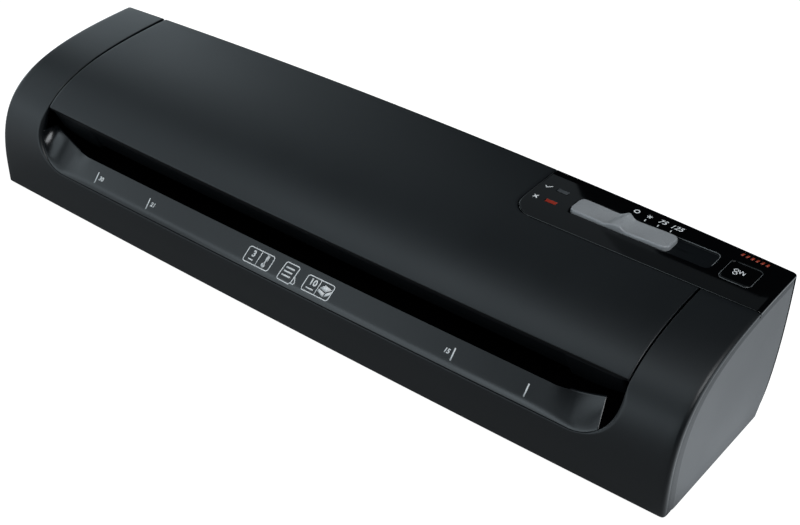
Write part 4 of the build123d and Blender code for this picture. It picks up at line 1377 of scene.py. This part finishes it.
# Signs on the tray, at (station, distance below the slope's back edge): lines with widths, and patches
SIGN_LINES = (
    ([(-28.6, 11.3), (-26.9, 11.3), (-25.1, 11.3)], 0.75),
    ([(12.9, 11.3), (15.2, 11.3), (18.0, 11.3)], 0.8),
    ([(-16.5, 5.6), (-17.0, 8.0), (-17.7, 11.2)], 0.9),
    ([(-17.1, 5.6), (-17.6, 8.2)], 0.34),
    ([(-15.7, 6.2), (-16.2, 8.6)], 0.34),
    ([(3.0, 13.2), (4.9, 13.3), (5.6, 12.3), (4.3, 9.2)], 0.6),
)
SIGN_PAGE = [(4.4, 3.5), (-3.5, 3.5), (-4.4, 4.4), (-6.4, 12.9)]
SIGN_PAGE += [(-5.8, 14.0), (2.0, 14.2), (3.3, 12.6), (5.1, 4.2)]
SIGN_PATCHES = (
    [(21.2, 8.4), (24.2, 5.9), (28.9, 7.0), (25.6, 9.4)],
    [(21.0, 9.0), (25.4, 10.1), (25.0, 12.3), (20.7, 10.4)],
    [(26.0, 10.0), (29.2, 7.6), (28.6, 9.9), (25.6, 12.2)],
)


def tray_text(text, x, below, height, shear, heavy):
    """Figures on the tray, where the second axis runs down the slope."""
    flat, faces = figures(text, (x, -below), height, shear, heavy)
    return flat * [1.0, -1.0], faces


def tray_marks():
    """Width marks with their figures, and the signs in the middle of the tray."""
    marks = [ribbon([(x, 5.7), (x, 9.0), (x, 12.5)], 0.8) for x in (-151.5, -108.0, 108.0, 151.5)]
    for text, x in (("30", -147.9), ("21", -104.4), ("15", 104.0)):
        marks.append(tray_text(text, x, 8.6, 2.5, 0.2, 0.14))
    for x in (-21.9, 20.2):
        marks.append(frame_line((x, 8.9), (18.1, 8.9, 1.4), 0.58, -0.17))
        marks.append(ribbon([(x + 0.75, 4.6), (x, 8.9), (x - 0.75, 13.2)], 0.5))
    marks.append(tray_text("3", -26.1, 7.6, 3.5, 0.15, 0.2))
    marks.append(tray_text("10", 16.1, 7.4, 3.5, 0.15, 0.2))
    marks.append(disc((-17.8, 11.2), 1.3))
    marks.append(ring((-16.35, 5.9), 0.75, 0.36))
    marks.append(ribbon(SIGN_PAGE, 0.62, closed=True))
    for k in range(3):
        x = -0.2 - 0.55 * k
        y = 6.2 + 2.3 * k
        marks.append(ribbon([(x - 3.2, y), (x, y), (x + 2.8, y)], 0.95))
    marks += [ribbon(points, width) for points, width in SIGN_LINES]
    marks += [(np.array(corners), [[0, 1, 2, 3]]) for corners in SIGN_PATCHES]
    return marks


def panel_marks():
    """A tick and a cross left of the track; behind it a ring, a star and two thicknesses over their marks."""
    marks = [
        ribbon([(94.8, 42.6), (95.9, 41.2), (98.4, 43.7)], 0.7),
        ribbon([(94.7, 32.4), (96.0, 31.2), (97.3, 30.0)], 0.75),
        ribbon([(94.9, 30.0), (96.0, 31.2), (97.1, 32.4)], 0.75),
        ring((144.8, 50.7), 1.35, 0.62),
        figures("75", (160.0, 50.4), 3.3, 0.25, 0.06),
        figures("125", (168.2, 50.1), 3.3, 0.25, 0.06),
    ]
    for x, y in ((152.0, 46.3), (159.6, 46.0), (167.1, 45.7)):
        marks.append(ribbon([(x - 0.1, y + 0.9), (x, y), (x + 0.1, y - 0.9)], 0.6))
    for k in range(3):
        dx = 1.6 * math.cos(k * math.pi / 3)
        dy = 1.6 * math.sin(k * math.pi / 3)
        marks.append(ribbon([(152.4 - dx, 50.5 - dy), (152.4, 50.5), (152.4 + dx, 50.5 + dy)], 0.5))
    return marks


def panel_outlines():
    """Thin light lines with rounded corners along the track's rear and right rims and three rims of the
    button's opening: painted highlights.
    """
    turn = np.linspace(0, math.pi / 2, 7)
    arc = np.stack([np.sin(turn), np.cos(turn)], -1)
    track = np.concatenate([[(160.0, 43.45), (194.0, 43.45)], [194.0, 40.3] + 3.15 * arc, [(197.15, 32.5)]])
    near = [205.65, 29.8] - 2.9 * arc[:, ::-1]
    far = [216.9, 29.8] + 2.9 * arc[::-1, ::-1] * [1, -1]
    button = np.concatenate([[(202.75, 42.5)], near, far, [(219.85, 41.0)]])
    return [ribbon(track, 0.28), ribbon(button, 0.28)]


def release_dashes():
    """Six short strokes in a row behind the button."""
    marks = []
    for k in range(6):
        x = 204.7 + 2.75 * k
        y = 50.0 - 0.16 * k
        marks.append(ribbon([(x - 0.3, y - 1.15), (x, y), (x + 0.3, y + 1.15)], 1.25))
    return marks


def button_sign():
    """Two small rings and a zigzag on the button."""
    zigzag = [(209.6, 37.6), (210.7, 35.0), (211.3, 37.6), (212.7, 34.6), (213.0, 36.8)]
    strokes = [ribbon(pair, 0.45) for pair in zip(zigzag, zigzag[1:])]
    return [ring((208.2, 36.6), 1.05, 0.42), ring((208.6, 34.2), 1.05, 0.42), *strokes]


def build_marks():
    """Plain figures, lines and simple signs in the places of the printed ones, and thin light lines that
    paint highlights on two rims.
    """
    put_marks("tray_marks", tray_marks(), on_slope, "white_ink")
    put_marks("panel_marks", panel_marks(), on_panel, "white_ink")
    # Painted highlights on the rims of the track and of the button's opening
    put_marks("panel_outlines", panel_outlines(), on_panel, "grey_ink")
    put_marks("release_marks", release_dashes(), on_panel, "red_ink")
    put_marks("button_sign", button_sign(), on_button, "white_ink", "button")


# ---------------------------------------------------------------- scene set-up


def chosen_colour(name, description, level):
    """A colour that the finishes read."""
    return FloatVectorProperty(name=name, description=description, subtype="COLOR", default=level)


def chosen_angle(name, description, degrees):
    """An angle of the camera."""
    return FloatProperty(name=name, description=description, default=math.radians(degrees), unit="ROTATION")


class LaminatorFinishes(bpy.types.PropertyGroup):
    """Colours of the machine's main finishes."""

    shell: chosen_colour("Shell", "Satin black of the housing and cover", (0.0036, 0.0052, 0.0066))
    end_cap: chosen_colour("End caps", "Charcoal of the end panels", (0.017, 0.0185, 0.0205))
    panel: chosen_colour("Panel", "High gloss black of the control panel", (0.0012, 0.0014, 0.0018))
    knob: chosen_colour("Knob", "Satin grey of the slider's knob", (0.32, 0.33, 0.34))


class LaminatorStudio(bpy.types.PropertyGroup):
    """Floor, lights and camera."""

    floor_size: FloatProperty(name="Floor", description="Width of the floor", default=14.0, unit="LENGTH")
    room: FloatProperty(name="Room", description="Brightness of the room in reflections", default=0.004)
    bounce: FloatProperty(name="Bounce", description="Glow of the floor in reflections", default=0.07)
    side_bounce: FloatProperty(name="Side bounce", description="Glow past the right end", default=1.15)
    left_bounce: FloatProperty(name="Left bounce", description="Glow past the left end", default=0.45)
    lens: FloatProperty(name="Lens", description="Focal length on a 36 mm sensor", default=64.464)
    azimuth: chosen_angle("Azimuth", "Camera's turn to the right", 38.2485)
    elevation: chosen_angle("Elevation", "Camera's tilt down", 35.6494)
    roll: chosen_angle("Roll", "Camera's roll", 0.2914)
    place: FloatVectorProperty(
        name="Camera place",
        description="Where the camera stands",
        default=(0.426113, -0.500626, 0.482713),
        unit="LENGTH",
    )


class BuildOperator:
    """What the operators share."""

    bl_options = {"REGISTER"}


class LAMINATOR_OT_carried_nodes(BuildOperator, bpy.types.Operator):
    """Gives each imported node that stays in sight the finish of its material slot"""

    bl_idname = "laminator.carried_nodes"
    bl_label = "Finish the packed nodes"

    def execute(self, context):
        for row in frame["record"]["subparts"]:
            node = frame["nodes"][row["node"]]
            node.data.materials.clear()
            node.data.materials.append(finish(SLOT_FINISH[row["material_slot"]]))
        return {"FINISHED"}


class LAMINATOR_OT_housing(BuildOperator, bpy.types.Operator):
    """Builds the front apron with both cheeks and the floors of the grooves"""

    bl_idname = "laminator.housing"
    bl_label = "Housing"

    def execute(self, context):
        build_housing()
        build_groove_floors()
        return {"FINISHED"}


class LAMINATOR_OT_cover(BuildOperator, bpy.types.Operator):
    """Builds the centre cover"""

    bl_idname = "laminator.cover"
    bl_label = "Cover"

    def execute(self, context):
        build_cover()
        return {"FINISHED"}


class LAMINATOR_OT_mouth(BuildOperator, bpy.types.Operator):
    """Builds the feed tray, the dark throat above it and the walls at its ends"""

    bl_idname = "laminator.mouth"
    bl_label = "Feed mouth"

    def execute(self, context):
        build_tray()
        build_throat()
        build_mouth_walls()
        return {"FINISHED"}


class LAMINATOR_OT_end_caps(BuildOperator, bpy.types.Operator):
    """Builds both end panels"""

    bl_idname = "laminator.end_caps"
    bl_label = "End caps"

    def execute(self, context):
        build_end_caps()
        return {"FINISHED"}


class LAMINATOR_OT_panel_skin(BuildOperator, bpy.types.Operator):
    """Builds the gloss control panel with its openings"""

    bl_idname = "laminator.panel_skin"
    bl_label = "Control panel"

    def execute(self, context):
        build_panel()
        return {"FINISHED"}


class LAMINATOR_OT_controls(BuildOperator, bpy.types.Operator):
    """Builds the slider's knob and the release button"""

    bl_idname = "laminator.controls"
    bl_label = "Knob and button"

    def execute(self, context):
        build_knob()
        build_button()
        return {"FINISHED"}


class LAMINATOR_OT_marks(BuildOperator, bpy.types.Operator):
    """Lays the plain figures and signs on tray, panel and button"""

    bl_idname = "laminator.marks"
    bl_label = "Printed marks"

    def execute(self, context):
        build_marks()
        return {"FINISHED"}


class LAMINATOR_OT_studio(BuildOperator, bpy.types.Operator):
    """Sets the pale floor, the soft lights and the camera"""

    bl_idname = "laminator.studio"
    bl_label = "Studio"

    def execute(self, context):
        scene = context.scene
        studio = scene.laminator_studio
        scene.view_settings.view_transform = "Standard"
        build_floor(studio)
        build_world(studio)
        build_camera(studio)
        for name, azimuth, elevation, width, height, power in LIGHTS:
            a = math.radians(azimuth)
            e = math.radians(elevation)
            out = Vector((math.cos(a) * math.cos(e), math.sin(a) * math.cos(e), math.sin(e)))
            light = area_light(name, out * LIGHT_REACH, LOOK_AT, width, height, power)
            light.visible_diffuse = not LEFT_SIDE[0] < azimuth < LEFT_SIDE[1]
        area_light("right_fill", Vector((0.68, -0.18, 1.32)), LOOK_AT, 0.7, 0.7, 10.5, (0.94, 0.97, 1.0))
        for name, place, width, height, power in CARDS:
            area_light(name, Vector(place), (place[0], 0, place[2]), width, height, power)
        return {"FINISHED"}


# Where the soft lights stand and look; those at the left only show in reflections
LIGHT_REACH = 1.5
LOOK_AT = (0, 0, 0.04)
LEFT_SIDE = (130, 225)

# Soft lights around the body: azimuth from +X, elevation, width, height, power
LIGHTS = (
    ("rear_left_low", 150.0, 22.0, 0.5, 0.5, 1.3),
    ("rear_left_foot", 140.0, 12.0, 0.7, 0.7, 0.7),
    ("rear_left_card", 140.0, 35.0, 0.7, 0.7, 0.2),
    ("left_foot", 180.0, 12.0, 0.5, 0.5, 3.3),
    ("left_card", 190.0, 35.0, 0.7, 0.7, 0.65),
    ("left_top", 190.0, 60.0, 0.7, 0.7, 1.1),
    ("front_left_card", 221.0, 27.0, 0.95, 0.65, 1.65),
    ("front_left_foot", 215.0, 12.0, 0.7, 0.7, 1.4),
    ("front_top", 230.0, 60.0, 0.7, 0.7, 2.5),
    ("front_foot", 245.0, 12.0, 0.7, 0.7, 2.9),
    ("front_card", 245.0, 35.0, 0.7, 0.7, 0.6),
    ("front_low", 260.0, 22.0, 0.5, 0.5, 1.0),
    ("right_foot", 20.0, 12.0, 0.7, 0.7, 4.4),
)

# Upright cards behind the body that the gloss panel mirrors: middle, width, height, power
CARDS = (
    ("panel_card_left", (-0.95, 1.2, 1.36), 0.78, 0.88, 0.45),
    ("panel_card_step", (-0.51, 1.2, 1.1), 0.12, 0.17, 0.012),
    ("panel_card", (-0.385, 1.2, 1.495), 0.47, 0.635, 0.105),
)


def only_for_camera(tree):
    """1 on what the camera sees directly and 0 in reflections and bounced light."""
    return add(tree, "ShaderNodeLightPath").outputs["Is Camera Ray"]


def combined(tree, operation, first, second):
    """Two values added or multiplied."""
    return add(tree, "ShaderNodeMath", [], [(0, first), (1, second)], operation=operation).outputs[0]


def floor_glow(tree, studio):
    """How brightly the floor shows in reflections: by place, bright past the body's right end."""
    place = add(tree, "ShaderNodeTexCoord").outputs["Object"]
    place = add(tree, "ShaderNodeSeparateXYZ", [], [("Vector", place)])
    x = place.outputs["X"]
    y = place.outputs["Y"]
    side = studio.side_bounce
    level = ranged(tree, x, 0.222, 0.242)
    level = combined(tree, "MULTIPLY", level, ranged(tree, y, -0.07, -0.03))
    level = combined(tree, "MULTIPLY", level, ranged(tree, y, 0.0, 0.08, 1.45 * side, side))
    return combined(tree, "ADD", level, ranged(tree, x, -0.36, -0.24, studio.left_bounce, studio.bounce))


def build_floor(studio):
    """A pale floor that reads as white to the camera and as light grey in the reflections."""
    h = studio.floor_size / 2
    mesh = bpy.data.meshes.new("floor")
    mesh.from_pydata([(-h, -h, 0), (h, -h, 0), (h, h, 0), (-h, h, 0)], [], [(0, 1, 2, 3)])
    floor = bpy.data.objects.new("floor", mesh)
    bpy.context.scene.collection.objects.link(floor)
    mat = bpy.data.materials.new("floor")
    mat.use_nodes = True
    tree = mat.node_tree
    shader = tree.nodes["Principled BSDF"]
    shader.inputs["Roughness"].default_value = 0.9
    shader.inputs["Specular IOR Level"].default_value = 0.0
    shader.inputs["Emission Strength"].default_value = 1.0
    shader.inputs["Base Color"].default_value = (0.3, 0.3, 0.3, 1)
    cool = [(0, 1.0), (7, (0.87, 0.94, 1.0, 1))]
    glow = [(6, floor_glow(tree, studio))]
    tint = add(tree, "ShaderNodeMix", cool, glow, data_type="RGBA", blend_type="MULTIPLY")
    seen = [(0, only_for_camera(tree)), (6, tint.outputs[2])]
    pick = add(tree, "ShaderNodeMix", [(7, (1.0, 1.0, 1.0, 1))], seen, data_type="RGBA")
    tree.links.new(pick.outputs[2], shader.inputs["Emission Color"])
    mesh.materials.append(mat)
    return floor


def build_world(studio):
    """A white backdrop to the camera, a dim room in the reflections."""
    world = bpy.data.worlds.new("studio")
    bpy.context.scene.world = world
    world.use_nodes = True
    tree = world.node_tree
    background = tree.nodes["Background"]
    level = ranged(tree, only_for_camera(tree), 0.0, 1.0, studio.room, 1.0)
    tree.links.new(level, background.inputs["Strength"])
    background.inputs["Color"].default_value = (1, 1, 1, 1)


def build_camera(studio):
    """The camera, turned right, tilted down and rolled."""
    data = bpy.data.cameras.new("camera")
    data.lens = studio.lens
    data.sensor_width = 36.0
    data.clip_start = 0.01
    camera = bpy.data.objects.new("camera", data)
    turn = Matrix.Rotation(studio.azimuth, 4, "Z")
    tilt = Matrix.Rotation(math.pi / 2 - studio.elevation, 4, "X")
    roll = Matrix.Rotation(studio.roll, 4, "Z")
    camera.matrix_world = Matrix.Translation(studio.place) @ turn @ tilt @ roll
    bpy.context.scene.collection.objects.link(camera)
    bpy.context.scene.camera = camera


def area_light(name, place, target, width, height, power, colour=(0.80, 0.925, 1.0)):
    """A rectangular soft light that looks at a target."""
    data = bpy.data.lights.new(name, "AREA")
    data.shape = "RECTANGLE"
    data.size = width
    data.size_y = height
    data.energy = power
    data.color = colour
    light = bpy.data.objects.new(name, data)
    light.location = place
    light.rotation_euler = (Vector(target) - place).to_track_quat("-Z", "Y").to_euler()
    bpy.context.scene.collection.objects.link(light)
    return light


class LAMINATOR_PT_panel(bpy.types.Panel):
    """Lists the machine's pieces in build order"""

    bl_label = "Pouch laminator"
    bl_idname = "LAMINATOR_PT_panel"
    bl_space_type = "VIEW_3D"
    bl_region_type = "UI"
    bl_category = "Laminator"

    def draw(self, context):
        for operator in OPERATORS:
            self.layout.operator(operator.bl_idname)


OPERATORS = (
    LAMINATOR_OT_carried_nodes,
    LAMINATOR_OT_housing,
    LAMINATOR_OT_cover,
    LAMINATOR_OT_mouth,
    LAMINATOR_OT_end_caps,
    LAMINATOR_OT_panel_skin,
    LAMINATOR_OT_controls,
    LAMINATOR_OT_marks,
    LAMINATOR_OT_studio,
)
CLASSES = (LaminatorFinishes, LaminatorStudio, *OPERATORS, LAMINATOR_PT_panel)


def register():
    for cls in CLASSES:
        bpy.utils.register_class(cls)
    bpy.types.Scene.laminator_finishes = PointerProperty(type=LaminatorFinishes)
    bpy.types.Scene.laminator_studio = PointerProperty(type=LaminatorStudio)


def unregister():
    del bpy.types.Scene.laminator_studio
    del bpy.types.Scene.laminator_finishes
    for cls in reversed(CLASSES):
        bpy.utils.unregister_class(cls)


def main():
    register()
    for operator in OPERATORS:
        group, name = operator.bl_idname.split(".")
        getattr(getattr(bpy.ops, group), name)()


if __name__ == "__main__":
    main()
